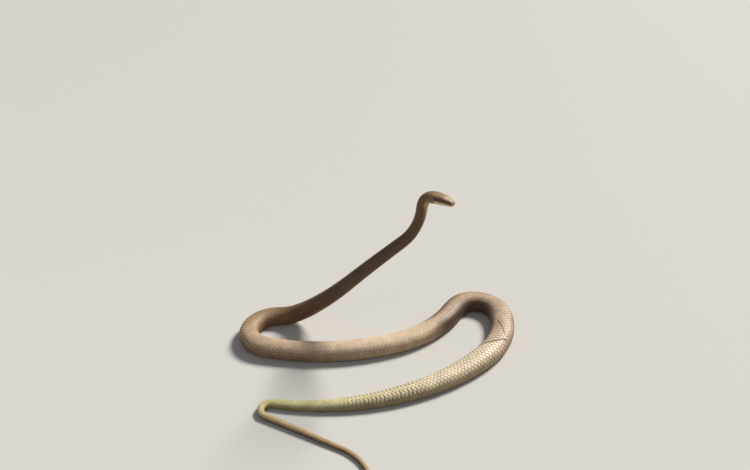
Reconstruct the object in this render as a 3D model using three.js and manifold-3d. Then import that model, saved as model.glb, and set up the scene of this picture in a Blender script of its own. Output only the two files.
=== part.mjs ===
// King cobra, life size, as a still model. The head and forebody are raised off the floor, and the rest of
// the body lies on it in open bends: a U-turn at the left, a wide loop at the right, and a sharp bend at the
// left again where the tail begins.
//
// Lengths are millimetres and angles are degrees. +Z is up and the floor is Z = 0. The side seen first faces
// -Y, with +X to its right. The origin is on the floor, under the middle of the model's outer box.

import * as THREE from "three";
import { mergeVertices } from "three/addons/utils/BufferGeometryUtils.js";
import Module from "manifold-3d";

// The tip of the nose, and the way the body leaves it: its heading seen from above, and how far it climbs.
const NOSE = { x: 196.5, y: 220.9, heading: 142, climb: 4 };

// The body's course from nose to tail tip. Each stretch has a length along the middle of the body, a turn
// seen from above (left is positive) and a lift (up is positive).
const COURSE = [
  { name: "head", length: 62, turn: 0, lift: 0 },
  { name: "nape", length: 50, turn: 20, lift: -93 },
  { name: "crook", length: 135, turn: 0, lift: 44 },
  { name: "upper_slant", length: 240, turn: 0, lift: -2 },
  { name: "lower_slant", length: 160, turn: 0, lift: 8 },
  { name: "settle", length: 95, turn: 11, lift: 14 },
  { name: "landing", length: 40, turn: 0, lift: 25 },
  { name: "u_turn", length: 235, turn: 173, lift: 0 },
  { name: "second_pass", length: 400, turn: 33, lift: 0 },
  { name: "climb", length: 280, turn: 44, lift: 0 },
  { name: "loop_top", length: 195, turn: -149, lift: 0 },
  { name: "loop_side", length: 220, turn: -49, lift: 0 },
  { name: "loop_foot", length: 245, turn: -21, lift: 0 },
  { name: "near_pass", length: 365, turn: -29, lift: 0 },
  { name: "vent", length: 60, turn: -7, lift: 0 },
  { name: "bend", length: 65, turn: 165, lift: 0 },
  { name: "tail_rise", length: 240, turn: 0, lift: 0 },
  { name: "tail_drop", length: 155, turn: -64, lift: 0 },
  { name: "tail_end", length: 270, turn: 30, lift: 0 },
];
const LIES_FROM = "u_turn"; // the first stretch that lies wholly on the floor
const BEND_BLEND = 0.9; // each bend blends into the next over this share of the body's width

// The body's girth: its full width, and its height above and below the middle line. The floor stretches are
// a little flattened by their own weight.
const GIRTH = [
  { at: 0, width: 19, above: 7.6, below: 6.6 },
  { at: 8, width: 23, above: 9.0, below: 7.6 },
  { at: 16, width: 27.5, above: 10.8, below: 8.6 },
  { at: 24, width: 32, above: 12.8, below: 9.8 },
  { at: 30, width: 35, above: 14.2, below: 10.8 },
  { at: 40, width: 38.5, above: 14.8, below: 12.2 },
  { at: 50, width: 41.5, above: 14.9, below: 13.4 },
  { at: 58, width: 43, above: 15.0, below: 14.4 },
  { at: 67, width: 41.5, above: 15.2, below: 15.0 },
  { at: 78, width: 37, above: 15.8, below: 15.2 },
  { at: 92, width: 34, above: 16.2, below: 15.0 },
  { at: 150, width: 34.5, above: 16.2, below: 15.0 },
  { at: 260, width: 37, above: 17.5, below: 16.0 },
  { at: 430, width: 45, above: 20.5, below: 18.5 },
  { at: 560, width: 51, above: 23.5, below: 21.0 },
  { at: 700, width: 58, above: 26.0, below: 23.5 },
  { at: 830, width: 61, above: 26.5, below: 24.0 },
  { at: 1100, width: 63, above: 26.5, below: 23.5 },
  { at: 1430, width: 66, above: 27.0, below: 24.0 },
  { at: 1780, width: 72, above: 29.0, below: 26.0 },
  { at: 1960, width: 73, above: 29.0, below: 26.0 },
  { at: 2130, width: 69, above: 27.5, below: 24.5 },
  { at: 2270, width: 59, above: 24.5, below: 21.5 },
  { at: 2410, width: 50, above: 21.0, below: 18.5 },
  { at: 2560, width: 39, above: 16.5, below: 14.5 },
  { at: 2690, width: 29.5, above: 13.0, below: 11.4 },
  { at: 2790, width: 24.5, above: 11.2, below: 9.6 },
  { at: 2860, width: 19, above: 9.0, below: 7.6 },
  { at: 3060, width: 14, above: 6.8, below: 5.8 },
  { at: 3240, width: 11, above: 5.4, below: 4.6 },
  { at: 3512, width: 3, above: 1.5, below: 1.4 },
];
const SNOUT_ROUND = 7; // the snout rounds off over this length
const HEAD_LENGTH = 78; // from the snout to where the neck's own node begins

// How square a section is, as the power of its outline: 2 is an oval. The crown is flatter than the back,
// and the belly has the flat that the body rests on, which starts at the throat.
const SQUARE = { crown: 2.6, back: 2.15, chin: 2.3, belly: 3 };
const BELLY_SINK = 1.066; // the belly's outline is this much too deep, and is cut off flat
const BELLY_FROM = 70;
const BELLY_FULL = 150;

// The head's own relief on its sides: soft swellings and hollows, mirrored left and right. Each has a place
// back from the nose, an angle up from the side of the section, a reach each way and a height.
const HEAD_RELIEF = [
  { name: "brow", at: 28, angle: 42, reach: 8, spread: 15, height: 1.0 },
  { name: "lore", at: 17, angle: 22, reach: 6, spread: 17, height: -0.9 },
  { name: "temple", at: 42, angle: 30, reach: 7, spread: 18, height: -0.5 },
  { name: "jaw_muscle", at: 57, angle: 0, reach: 8, spread: 26, height: 0.9 },
];

// The mouth line on the side of the head, from the snout back to its corner, then the back of the lower jaw.
const MOUTH = [
  { at: -3, up: -2.6 },
  { at: 10, up: -3.2 },
  { at: 30, up: -4.4 },
  { at: 45, up: -3.9 },
  { at: 53, up: -1.8 },
];
const JAW_BACK = { at: 61, up: -20 };
const JAW_SLAB_REACH = 40; // the slab that parts off the jaw passes the head by this much on every side

// The eyeball sits in the side of the head, with a low dome standing proud.
const EYE = { at: 29, up: 5.4, side: 12.7, radius: 5.1 };

// The nodes of the body behind the head: each run ends with a stretch of the course and is parted into
// equal lengths.
const RUNS = [
  { name: "neck", end: "crook", lengths: 2 },
  { name: "raised_trunk", end: "lower_slant", lengths: 2 },
  { name: "landing_trunk", end: "landing", lengths: 1 },
  { name: "u_turn_trunk", end: "u_turn", lengths: 3 },
  { name: "second_pass_trunk", end: "second_pass", lengths: 2 },
  { name: "climb_trunk", end: "climb", lengths: 2 },
  { name: "loop_top_trunk", end: "loop_top", lengths: 3 },
  { name: "loop_side_trunk", end: "loop_side", lengths: 2 },
  { name: "loop_foot_trunk", end: "loop_foot", lengths: 2 },
  { name: "near_pass_trunk", end: "vent", lengths: 3 },
  { name: "tail_bend", end: "bend", lengths: 2 },
  { name: "tail", end: "tail_end", lengths: 4 },
];

const GAP = 0.3; // the parting cut between two nodes
const BODY_SIDES = 16;
const TAIL_SIDES = 12;
const HEAD_SIDES = 24;
const EYE_SIDES = 16;
const LONGEST_STEP = 25; // between two sections of the body
const MOST_TURN = 10; // degrees between two sections
const HEAD_STEP = 3.8;
const SNOUT_PLACES = [0.15, 0.6, 1.5, 3, 5]; // the snout's own sections, closer together
const WALK_STEP = 2; // the course is added up in steps of this length
const BLEND_SAMPLES = 9;

// Skin colours, from the straw-coloured trunk to the browner head and tail, and the dark eye.
const SKIN = {
  head: { color: 0x97805c, roughness: 0.5 },
  neck: { color: 0x8a7550, roughness: 0.5 },
  trunk: { color: 0xb9a273, roughness: 0.45 },
  tail: { color: 0x9b8a66, roughness: 0.5 },
  eye: { color: 0x1b120a, roughness: 0.08 },
};

const radians = THREE.MathUtils.degToRad;

// A smooth value between rows, with no overshoot: a cubic whose slope at a row is the harmonic mean of the
// slopes on its two sides.
function smoothRow(rows, at, key) {
  const last = rows.length - 1;
  const x = THREE.MathUtils.clamp(at, rows[0].at, rows[last].at);
  let i = 0;
  while (i < last - 1 && rows[i + 1].at <= x) i += 1;
  const slope = (k) => (rows[k + 1][key] - rows[k][key]) / (rows[k + 1].at - rows[k].at);
  const slopeAtRow = (k) => {
    if (k === 0) return slope(0);
    if (k === last) return slope(last - 1);
    const before = slope(k - 1);
    const after = slope(k);
    return before * after <= 0 ? 0 : (2 * before * after) / (before + after);
  };
  const h = rows[i + 1].at - rows[i].at;
  const t = (x - rows[i].at) / h;
  const rise = rows[i + 1][key] - rows[i][key];
  const start = h * slopeAtRow(i);
  const end = h * slopeAtRow(i + 1);
  return rows[i][key] + t * start + t * t * (3 * rise - 2 * start - end) + t ** 3 * (start + end - 2 * rise);
}

// The running total of the course's turns or lifts, as rows at the ends of its stretches.
function totals(key) {
  const rows = [{ at: 0, total: 0 }];
  for (const stretch of COURSE) {
    const before = rows[rows.length - 1];
    rows.push({ at: before.at + stretch.length, total: before.total + stretch[key] });
  }
  return rows;
}

const TURNS = totals("turn");
const LIFTS = totals("lift");
const BODY_LENGTH = TURNS[TURNS.length - 1].at;

// The distance from the nose at which a stretch starts or ends.
const stretchIndex = (name) => COURSE.findIndex((stretch) => stretch.name === name);
const startOf = (name) => TURNS[stretchIndex(name)].at;
const endOf = (name) => TURNS[stretchIndex(name) + 1].at;

// The total at a distance, on straight lines between the rows and level past their ends.
function totalAt(rows, at) {
  let i = 0;
  while (i < rows.length - 2 && rows[i + 1].at <= at) i += 1;
  const t = THREE.MathUtils.clamp((at - rows[i].at) / (rows[i + 1].at - rows[i].at), 0, 1);
  return THREE.MathUtils.lerp(rows[i].total, rows[i + 1].total, t);
}

// The same, averaged over the body's width, so that one bend runs smoothly into the next.
function blended(rows, at) {
  const window = BEND_BLEND * smoothRow(GIRTH, at, "width");
  let sum = 0;
  for (let k = 0; k < BLEND_SAMPLES; k += 1) {
    sum += totalAt(rows, at + window * (k / (BLEND_SAMPLES - 1) - 0.5));
  }
  return sum / BLEND_SAMPLES;
}

// The body's directions at a distance from the nose: along it to the tail, to its side, and out of its back.
function directions(at) {
  const heading = radians(NOSE.heading + blended(TURNS, at));
  const climb = radians(NOSE.climb + blended(LIFTS, at));
  const along = new THREE.Vector3(
    Math.cos(climb) * Math.cos(heading),
    Math.cos(climb) * Math.sin(heading),
    Math.sin(climb),
  );
  const side = new THREE.Vector3(-Math.sin(heading), Math.cos(heading), 0);
  return { along, side, back: along.clone().cross(side) };
}

// The middle line of the body. It is added up from the nose, then set down so that the stretches on the
// floor lie at their own half height.
function walkCourse() {
  const steps = Math.round(BODY_LENGTH / WALK_STEP);
  const points = [new THREE.Vector3(NOSE.x, NOSE.y, 0)];
  for (let k = 0; k < steps; k += 1) {
    const { along } = directions((k + 0.5) * WALK_STEP);
    points.push(points[k].clone().addScaledVector(along, WALK_STEP));
  }
  const floorLevel = points[steps].z;
  const liftOff = startOf(LIES_FROM);
  points.forEach((point, k) => {
    point.z += smoothRow(GIRTH, Math.max(k * WALK_STEP, liftOff), "below") - floorLevel;
  });
  return points;
}

const MIDDLE_LINE = walkCourse();

function middleAt(at) {
  const k = THREE.MathUtils.clamp(at / WALK_STEP, 0, MIDDLE_LINE.length - 1.000001);
  return MIDDLE_LINE[Math.floor(k)].clone().lerp(MIDDLE_LINE[Math.floor(k) + 1], k % 1);
}

const signedPower = (value, power) => Math.sign(value) * Math.abs(value) ** power;

// How far the head's relief moves a point of a section out, at an angle up from the section's side.
function relief(at, angle) {
  const up = THREE.MathUtils.radToDeg(Math.asin(Math.sin(angle)));
  return HEAD_RELIEF.reduce((sum, form) => {
    const away = ((at - form.at) / form.reach) ** 2 + ((up - form.angle) / form.spread) ** 2;
    return sum + form.height * Math.exp(-away);
  }, 0);
}

// One section of the body, as corners round it that start at the middle of the belly.
function section(at, sides) {
  const { side, back } = directions(at);
  const middle = middleAt(at);
  const snout = Math.min(at / SNOUT_ROUND, 1);
  const rounding = Math.sqrt(1 - (1 - snout) ** 2);
  const half = (rounding * smoothRow(GIRTH, at, "width")) / 2;
  const above = rounding * smoothRow(GIRTH, at, "above");
  const below = rounding * smoothRow(GIRTH, at, "below");
  const trunk = THREE.MathUtils.smoothstep(at, BELLY_FROM, BELLY_FULL);
  const top = THREE.MathUtils.lerp(SQUARE.crown, SQUARE.back, trunk);
  const bottom = THREE.MathUtils.lerp(SQUARE.chin, SQUARE.belly, trunk);
  const sink = THREE.MathUtils.lerp(1, BELLY_SINK, trunk);
  const corners = [];
  for (let k = 0; k < sides; k += 1) {
    const angle = 2 * Math.PI * (k / sides - 0.25);
    const power = 2 / (Math.sin(angle) < 0 ? bottom : top);
    const across = half * signedPower(Math.cos(angle), power);
    const reach = signedPower(Math.sin(angle), power);
    const up = reach < 0 ? Math.max(-below, below * sink * reach) : above * reach;
    const out = relief(at, angle);
    corners.push(
      middle
        .clone()
        .addScaledVector(side, across + out * Math.cos(angle))
        .addScaledVector(back, up + out * Math.sin(angle)),
    );
  }
  return corners;
}

// A closed shell through sections that have the same number of corners, with a flat face on each end.
function loft(rings) {
  const sides = rings[0].length;
  const corners = rings.flat();
  const index = [];
  for (let r = 0; r < rings.length - 1; r += 1) {
    for (let k = 0; k < sides; k += 1) {
      const a = r * sides + k;
      const b = r * sides + ((k + 1) % sides);
      index.push(a, b, a + sides, b, b + sides, a + sides);
    }
  }
  for (const [r, isLast] of [[0, false], [rings.length - 1, true]]) {
    const centre = new THREE.Vector3();
    rings[r].forEach((corner) => centre.addScaledVector(corner, 1 / sides));
    const c = corners.push(centre) - 1;
    for (let k = 0; k < sides; k += 1) {
      const a = r * sides + k;
      const b = r * sides + ((k + 1) % sides);
      index.push(...(isLast ? [c, a, b] : [c, b, a]));
    }
  }
  return new THREE.BufferGeometry().setFromPoints(corners).setIndex(index);
}

// The distances at which a length of the body has its sections: closer together where it bends more.
function sectionPlaces(from, to) {
  const halfway = directions((from + to) / 2).along;
  const turn = THREE.MathUtils.radToDeg(
    directions(from).along.angleTo(halfway) + halfway.angleTo(directions(to).along),
  );
  const steps = Math.ceil(Math.max((to - from) / LONGEST_STEP, turn / MOST_TURN));
  return Array.from({ length: steps + 1 }, (_, k) => from + ((to - from) * k) / steps);
}

const wasm = await Module();
wasm.setup();

// A closed geometry as a solid that can be cut and joined.
function solidOf(geometry) {
  const bare = geometry.clone();
  bare.deleteAttribute("normal");
  bare.deleteAttribute("uv");
  const merged = mergeVertices(bare);
  return new wasm.Manifold(
    new wasm.Mesh({
      numProp: 3,
      vertProperties: merged.attributes.position.array,
      triVerts: new Uint32Array(merged.index.array),
    }),
  );
}

function geometryOf(solid) {
  const mesh = solid.getMesh();
  return new THREE.BufferGeometry()
    .setAttribute("position", new THREE.BufferAttribute(mesh.vertProperties, 3))
    .setIndex(new THREE.BufferAttribute(mesh.triVerts, 1));
}

function makeMesh(name, geometry, skin) {
  const shaded = geometry.index ? geometry.toNonIndexed() : geometry;
  shaded.computeVertexNormals();
  const mesh = new THREE.Mesh(shaded, new THREE.MeshStandardMaterial({ ...skin, metalness: 0 }));
  mesh.name = name;
  return mesh;
}

// The head's own frame: its X runs back from the nose, its Y to the head's side, its Z out of the crown.
function headFrame() {
  const { along, side, back } = directions(0);
  return new THREE.Matrix4().makeBasis(along, side, back).setPosition(middleAt(0));
}

// A slab across the head, below the mouth line and in front of the jaw's back edge. Grown by a gap, it
// is what the upper head leaves free.
function jawSlab(gap) {
  const outline = new THREE.Shape();
  outline.moveTo(MOUTH[0].at, -JAW_SLAB_REACH);
  MOUTH.forEach(({ at, up }) => outline.lineTo(at, up + gap));
  outline.lineTo(MOUTH[MOUTH.length - 1].at + gap, MOUTH[MOUTH.length - 1].up + gap);
  outline.lineTo(JAW_BACK.at + gap, JAW_BACK.up);
  outline.lineTo(JAW_BACK.at + gap, -JAW_SLAB_REACH);
  const slab = new THREE.ExtrudeGeometry(outline, { depth: 2 * JAW_SLAB_REACH, bevelEnabled: false });
  return slab.translate(0, 0, -JAW_SLAB_REACH).rotateX(Math.PI / 2);
}

function eyeball(sign, gap) {
  const ball = new THREE.SphereGeometry(EYE.radius + gap, EYE_SIDES, EYE_SIDES / 2 + 2);
  return ball.translate(EYE.at, sign * EYE.side, EYE.up);
}

// The upper head, the lower jaw and the two eyes, in the head's own frame.
function buildHead() {
  const frame = headFrame();
  const group = new THREE.Group();
  frame.decompose(group.position, group.quaternion, group.scale);
  const places = [...SNOUT_PLACES];
  for (let at = SNOUT_ROUND; at < HEAD_LENGTH - HEAD_STEP; at += HEAD_STEP) places.push(at);
  places.push(HEAD_LENGTH - GAP / 2);
  const whole = solidOf(
    loft(places.map((at) => section(at, HEAD_SIDES))).applyMatrix4(frame.clone().invert()),
  );
  const upper = whole
    .subtract(solidOf(jawSlab(GAP)))
    .subtract(solidOf(eyeball(1, GAP)))
    .subtract(solidOf(eyeball(-1, GAP)));
  group.add(makeMesh("head", geometryOf(upper), SKIN.head));
  group.add(makeMesh("lower_jaw", geometryOf(whole.intersect(solidOf(jawSlab(0)))), SKIN.head));
  group.add(makeMesh("eye_left", eyeball(-1, 0), SKIN.eye));
  group.add(makeMesh("eye_right", eyeball(1, 0), SKIN.eye));
  return group;
}

// One length of the body, placed at its own first point.
function buildLength(name, from, to) {
  const origin = middleAt(from);
  const sides = name.startsWith("tail") ? TAIL_SIDES : BODY_SIDES;
  const rings = sectionPlaces(from, to).map((at) => section(at, sides));
  const skin = Object.keys(SKIN).find((part) => name.includes(part));
  const mesh = makeMesh(name, loft(rings).translate(-origin.x, -origin.y, -origin.z), SKIN[skin]);
  mesh.position.copy(origin);
  return mesh;
}

// The neck, trunk and tail, parted into lengths with a thin cut between each two.
function buildBody() {
  const group = new THREE.Group();
  let from = HEAD_LENGTH;
  for (const run of RUNS) {
    const length = (endOf(run.end) - from) / run.lengths;
    for (let k = 0; k < run.lengths; k += 1) {
      const name = run.lengths > 1 ? `${run.name}_${k + 1}` : run.name;
      const isTip = run.end === COURSE[COURSE.length - 1].name && k === run.lengths - 1;
      group.add(buildLength(name, from + GAP / 2, from + length - (isTip ? 0 : GAP / 2)));
      from += length;
    }
  }
  return group;
}

const cobra = new THREE.Group();
cobra.add(buildHead());
cobra.add(buildBody());

export default cobra;
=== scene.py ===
"""King cobra, life size, as a still model such as a museum shows.

Everything is in metres in one frame: +Z is up, the floor is Z = 0, and the model is first seen from -Y. The
body's course and girth repeat the solids' own sizes, in millimetres, and all that shows is laid on them: one
skin over all the flesh with the shields of the head on it, overlapping scales down the back and the sides,
broad scutes under the belly and the tail, and two glossy eyes.
"""
import logging
import math
from collections.abc import Iterator, Sequence
from contextlib import contextmanager
from dataclasses import dataclass, replace
from enum import Enum

import bpy
import numpy as np
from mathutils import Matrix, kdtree


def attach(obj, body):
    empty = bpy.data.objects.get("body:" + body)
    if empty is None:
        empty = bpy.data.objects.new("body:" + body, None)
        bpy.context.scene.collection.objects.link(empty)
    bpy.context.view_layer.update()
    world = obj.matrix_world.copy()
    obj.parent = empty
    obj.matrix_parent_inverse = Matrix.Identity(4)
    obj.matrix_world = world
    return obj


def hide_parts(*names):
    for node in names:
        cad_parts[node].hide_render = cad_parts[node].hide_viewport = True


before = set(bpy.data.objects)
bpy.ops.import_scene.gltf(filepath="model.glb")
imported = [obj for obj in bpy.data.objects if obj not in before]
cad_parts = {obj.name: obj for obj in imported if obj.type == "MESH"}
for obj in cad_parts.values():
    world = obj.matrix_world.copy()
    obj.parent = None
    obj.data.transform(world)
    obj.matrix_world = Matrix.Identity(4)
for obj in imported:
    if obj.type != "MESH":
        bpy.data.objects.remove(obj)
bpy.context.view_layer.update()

LOG = logging.getLogger("king_cobra")
MM = 0.001
Numbers = np.ndarray | float
Span = tuple[float, float]
Screen = tuple[int, int, int]
Socket = bpy.types.NodeSocket


@dataclass(frozen=True)
class Stretch:
    """One stretch of the body's course: its length in mm, and its turn and its lift in degrees."""

    name: str
    length: float
    turn: float
    lift: float = 0.0


@dataclass(frozen=True)
class Girth:
    """The body's full width, and its height above and below its middle line, at a distance from the nose."""

    at: float
    width: float
    above: float
    below: float


@dataclass(frozen=True)
class Swelling:
    """A soft form on the sides of the head: where it is, how far it reaches and how high it stands."""

    at: float
    angle: float
    reach: float
    spread: float
    height: float


COURSE = (
    Stretch("head", 62, 0),
    Stretch("nape", 50, 20, -93),
    Stretch("crook", 135, 0, 44),
    Stretch("upper_slant", 240, 0, -2),
    Stretch("lower_slant", 160, 0, 8),
    Stretch("settle", 95, 11, 14),
    Stretch("landing", 40, 0, 25),
    Stretch("u_turn", 235, 173),
    Stretch("second_pass", 400, 33),
    Stretch("climb", 280, 44),
    Stretch("loop_top", 195, -149),
    Stretch("loop_side", 220, -49),
    Stretch("loop_foot", 245, -21),
    Stretch("near_pass", 365, -29),
    Stretch("vent", 60, -7),
    Stretch("bend", 65, 165),
    Stretch("tail_rise", 240, 0),
    Stretch("tail_drop", 155, -64),
    Stretch("tail_end", 270, 30),
)
GIRTH = (
    Girth(0, 19, 7.6, 6.6),
    Girth(8, 23, 9.0, 7.6),
    Girth(16, 27.5, 10.8, 8.6),
    Girth(24, 32, 12.8, 9.8),
    Girth(30, 35, 14.2, 10.8),
    Girth(40, 38.5, 14.8, 12.2),
    Girth(50, 41.5, 14.9, 13.4),
    Girth(58, 43, 15.0, 14.4),
    Girth(67, 41.5, 15.2, 15.0),
    Girth(78, 37, 15.8, 15.2),
    Girth(92, 34, 16.2, 15.0),
    Girth(150, 34.5, 16.2, 15.0),
    Girth(260, 37, 17.5, 16.0),
    Girth(430, 45, 20.5, 18.5),
    Girth(560, 51, 23.5, 21.0),
    Girth(700, 58, 26.0, 23.5),
    Girth(830, 61, 26.5, 24.0),
    Girth(1100, 63, 26.5, 23.5),
    Girth(1430, 66, 27.0, 24.0),
    Girth(1780, 72, 29.0, 26.0),
    Girth(1960, 73, 29.0, 26.0),
    Girth(2130, 69, 27.5, 24.5),
    Girth(2270, 59, 24.5, 21.5),
    Girth(2410, 50, 21.0, 18.5),
    Girth(2560, 39, 16.5, 14.5),
    Girth(2690, 29.5, 13.0, 11.4),
    Girth(2790, 24.5, 11.2, 9.6),
    Girth(2860, 19, 9.0, 7.6),
    Girth(3060, 14, 6.8, 5.8),
    Girth(3240, 11, 5.4, 4.6),
    Girth(3512, 3, 1.5, 1.4),
)
HEAD_RELIEF = (
    Swelling(28, 42, 8, 15, 1.0),
    Swelling(17, 22, 6, 17, -0.9),
    Swelling(42, 30, 7, 18, -0.5),
    Swelling(57, 0, 8, 26, 0.9),
)


def smooth_step(value: Numbers, low: float, high: float) -> np.ndarray:
    """Rises from 0 at low to 1 at high with level ends."""
    t = np.clip((value - low) / (high - low), 0.0, 1.0)
    return t * t * (3.0 - 2.0 * t)


def fade_out(value: Numbers, full: float, gone: float) -> np.ndarray:
    """Falls from 1 at full to 0 at gone with level ends."""
    return 1.0 - smooth_step(value, full, gone)


def signed_power(value: np.ndarray, power: Numbers) -> np.ndarray:
    """Raises the size of a value to a power and keeps its sign."""
    return np.sign(value) * np.abs(value) ** power


def unit(vectors: np.ndarray) -> np.ndarray:
    """Scales each row to length 1."""
    return vectors / np.maximum(np.linalg.norm(vectors, axis=-1, keepdims=True), 1e-12)


@dataclass(frozen=True)
class Band:
    """A span that a mark covers: where it starts, is full, begins to fade and ends."""

    start: float
    full: float
    fading: float
    end: float

    def cover(self, value: np.ndarray) -> np.ndarray:
        """Gives 1 inside the span and 0 off it, with soft ends."""
        return smooth_step(value, self.start, self.full) * fade_out(value, self.fading, self.end)


class SmoothRows:
    """A value between rows, by a cubic that doesn't overshoot them."""

    def __init__(self, at: Sequence[float], values: Sequence[float]) -> None:
        """Keeps the rows and the slope at each, the harmonic mean of the slopes beside it.

        Args:
            at: The rows' distances from the nose.
            values: The rows' values.
        """
        self.at = np.array(at, float)
        self.values = np.array(values, float)
        slope = np.diff(self.values) / np.diff(self.at)
        before, after = slope[:-1], slope[1:]
        same_way = before * after > 0
        total = np.where(same_way, before + after, 1.0)
        inner = np.where(same_way, 2.0 * before * after / total, 0.0)
        self.slopes = np.concatenate([slope[:1], inner, slope[-1:]])

    def __call__(self, at: Numbers) -> np.ndarray:
        """Gives the value at distances from the nose.

        Args:
            at: The distances.

        Returns:
            The values.
        """
        x = np.clip(at, self.at[0], self.at[-1])
        i = np.clip(np.searchsorted(self.at, x, side="right") - 1, 0, len(self.at) - 2)
        h = self.at[i + 1] - self.at[i]
        t = (x - self.at[i]) / h
        rise = self.values[i + 1] - self.values[i]
        start, end = h * self.slopes[i], h * self.slopes[i + 1]
        square, cube = 3 * rise - 2 * start - end, start + end - 2 * rise
        return self.values[i] + t * start + t * t * square + t**3 * cube


@dataclass
class Form:
    """The smooth outer form of the whole body, which the solids follow.

    A place on it is a distance from the nose in mm and an angle round the section, 0 along the back's middle
    and 180 under the belly, in degrees. A place can also be given by its share of the way round, from 0 at
    the back to 1 or -1 at the belly.
    """

    nose_x: float = 196.5
    nose_y: float = 220.9
    heading: float = 142.0
    climb: float = 4.0
    lies_from: str = "u_turn"
    bend_blend: float = 0.9
    blend_samples: int = 9
    snout_round: float = 7.0
    tip_round: float = 6.0
    crown_square: float = 2.6
    back_square: float = 2.15
    chin_square: float = 2.3
    belly_square: float = 3.0
    belly_sink: float = 1.066
    belly_grows: Span = (70.0, 150.0)
    walk_step: float = 2.0
    round_steps: int = 64
    end_margin: float = 0.5
    probe_along: float = 1.0
    probe_round: float = 3.0

    def __post_init__(self) -> None:
        """Walks the course once and measures how far it is round every section."""
        self.ends = np.concatenate([[0.0], np.cumsum([s.length for s in COURSE])])
        self.turns = np.concatenate([[0.0], np.cumsum([s.turn for s in COURSE])])
        self.lifts = np.concatenate([[0.0], np.cumsum([s.lift for s in COURSE])])
        self.length = float(self.ends[-1])
        at = [g.at for g in GIRTH]
        self.width, self.above, self.below = (
            SmoothRows(at, [getattr(g, side) for g in GIRTH]) for side in ("width", "above", "below")
        )
        self._walk()
        self._measure()

    def _walk(self) -> None:
        """Adds up the middle line from the nose and sets it down on the floor."""
        steps = round(self.length / self.walk_step)
        along, _, _ = self.directions((np.arange(steps) + 0.5) * self.walk_step)
        line = np.concatenate([np.zeros((1, 3)), np.cumsum(along * self.walk_step, axis=0)])
        self.stations = np.arange(steps + 1) * self.walk_step
        lift_off = float(self.ends[[s.name for s in COURSE].index(self.lies_from)])
        line[:, 2] += self.below(np.maximum(self.stations, lift_off)) - line[-1, 2]
        self.line = line + np.array([self.nose_x, self.nose_y, 0.0])

    def _measure(self) -> None:
        """Measures half the girth at every station, and the angle at each share of the way round."""
        angles = np.linspace(0.0, 180.0, 181)
        shares = np.linspace(0.0, 1.0, self.round_steps + 1)
        measured = np.clip(self.stations, self.end_margin, self.length - self.end_margin)
        at, angle = np.meshgrid(measured, angles, indexing="ij")
        across, up = self.outline(at, angle)
        step = np.hypot(np.diff(across, axis=1), np.diff(up, axis=1))
        run = np.concatenate([np.zeros((len(self.stations), 1)), np.cumsum(step, axis=1)], axis=1)
        self.half_round = run[:, -1]
        share = run / np.maximum(run[:, -1:], 1e-9)
        self.angles = np.stack([np.interp(shares, row, angles) for row in share])

    def _blended(self, totals: np.ndarray, at: np.ndarray) -> np.ndarray:
        """Averages a running total over the body's width, so that bends run into each other.

        Args:
            totals: The total turn or lift at the end of each stretch.
            at: Distances from the nose.

        Returns:
            The blended totals there.
        """
        window = self.bend_blend * self.width(at)
        offsets = np.linspace(-0.5, 0.5, self.blend_samples)
        return sum(np.interp(at + o * window, self.ends, totals) for o in offsets) / len(offsets)

    def directions(self, at: np.ndarray) -> tuple[np.ndarray, np.ndarray, np.ndarray]:
        """Gives the directions towards the tail, to the side and out of the back.

        Args:
            at: Distances from the nose.

        Returns:
            Three arrays of unit vectors.
        """
        heading = np.radians(self.heading + self._blended(self.turns, at))
        climb = np.radians(self.climb + self._blended(self.lifts, at))
        level = np.cos(climb)
        along = np.stack([level * np.cos(heading), level * np.sin(heading), np.sin(climb)], axis=-1)
        side = np.stack([-np.sin(heading), np.cos(heading), np.zeros_like(heading)], axis=-1)
        return along, side, np.cross(along, side)

    def middle(self, at: np.ndarray) -> np.ndarray:
        """Gives the points of the middle line."""
        return np.stack([np.interp(at, self.stations, self.line[:, k]) for k in range(3)], axis=-1)

    def squares(self, at: np.ndarray) -> tuple[np.ndarray, np.ndarray, np.ndarray]:
        """Gives how square the section is and how far its belly is oversunk.

        Args:
            at: Distances from the nose.

        Returns:
            The powers of the upper and the lower outline, and the factor on the depth of the lower one.
        """
        trunk = smooth_step(at, *self.belly_grows)
        top = self.crown_square + (self.back_square - self.crown_square) * trunk
        bottom = self.chin_square + (self.belly_square - self.chin_square) * trunk
        return top, bottom, 1.0 + (self.belly_sink - 1.0) * trunk

    def outline(self, at: np.ndarray, angle: np.ndarray) -> tuple[np.ndarray, np.ndarray]:
        """Gives a place's distance across and up from the middle line, in its section.

        Args:
            at: Distances from the nose.
            angle: Angles round from the back's middle.

        Returns:
            The distances across and up.
        """
        turn = np.radians(angle)
        snout = np.minimum(np.maximum(at, 0.0) / self.snout_round, 1.0)
        tip = np.clip((self.length - at) / self.tip_round, 0.0, 1.0)
        rounding = np.sqrt(1.0 - (1.0 - snout) ** 2) * np.sqrt(1.0 - (1.0 - tip) ** 2)
        top, bottom, sink = self.squares(at)
        aside, upward = np.sin(turn), np.cos(turn)
        power = 2.0 / np.where(upward < 0, bottom, top)
        across = rounding * self.width(at) / 2.0 * signed_power(aside, power)
        reach = signed_power(upward, power)
        below = rounding * self.below(at)
        up = np.where(reach < 0, np.maximum(-below, below * sink * reach), rounding * self.above(at) * reach)
        out = self.relief(at, angle)
        return across + out * aside, up + out * upward

    def relief(self, at: np.ndarray, angle: np.ndarray) -> np.ndarray:
        """Gives how far the brow, cheeks and jaw muscles move the head's surface out.

        Args:
            at: Distances from the nose.
            angle: Angles round from the back's middle.

        Returns:
            The distances outwards.
        """
        up = 90.0 - np.abs(angle)
        out = np.zeros(np.broadcast(at, angle).shape)
        for form in HEAD_RELIEF:
            away = ((at - form.at) / form.reach) ** 2 + ((up - form.angle) / form.spread) ** 2
            out += form.height * np.exp(-away)
        return out

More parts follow.
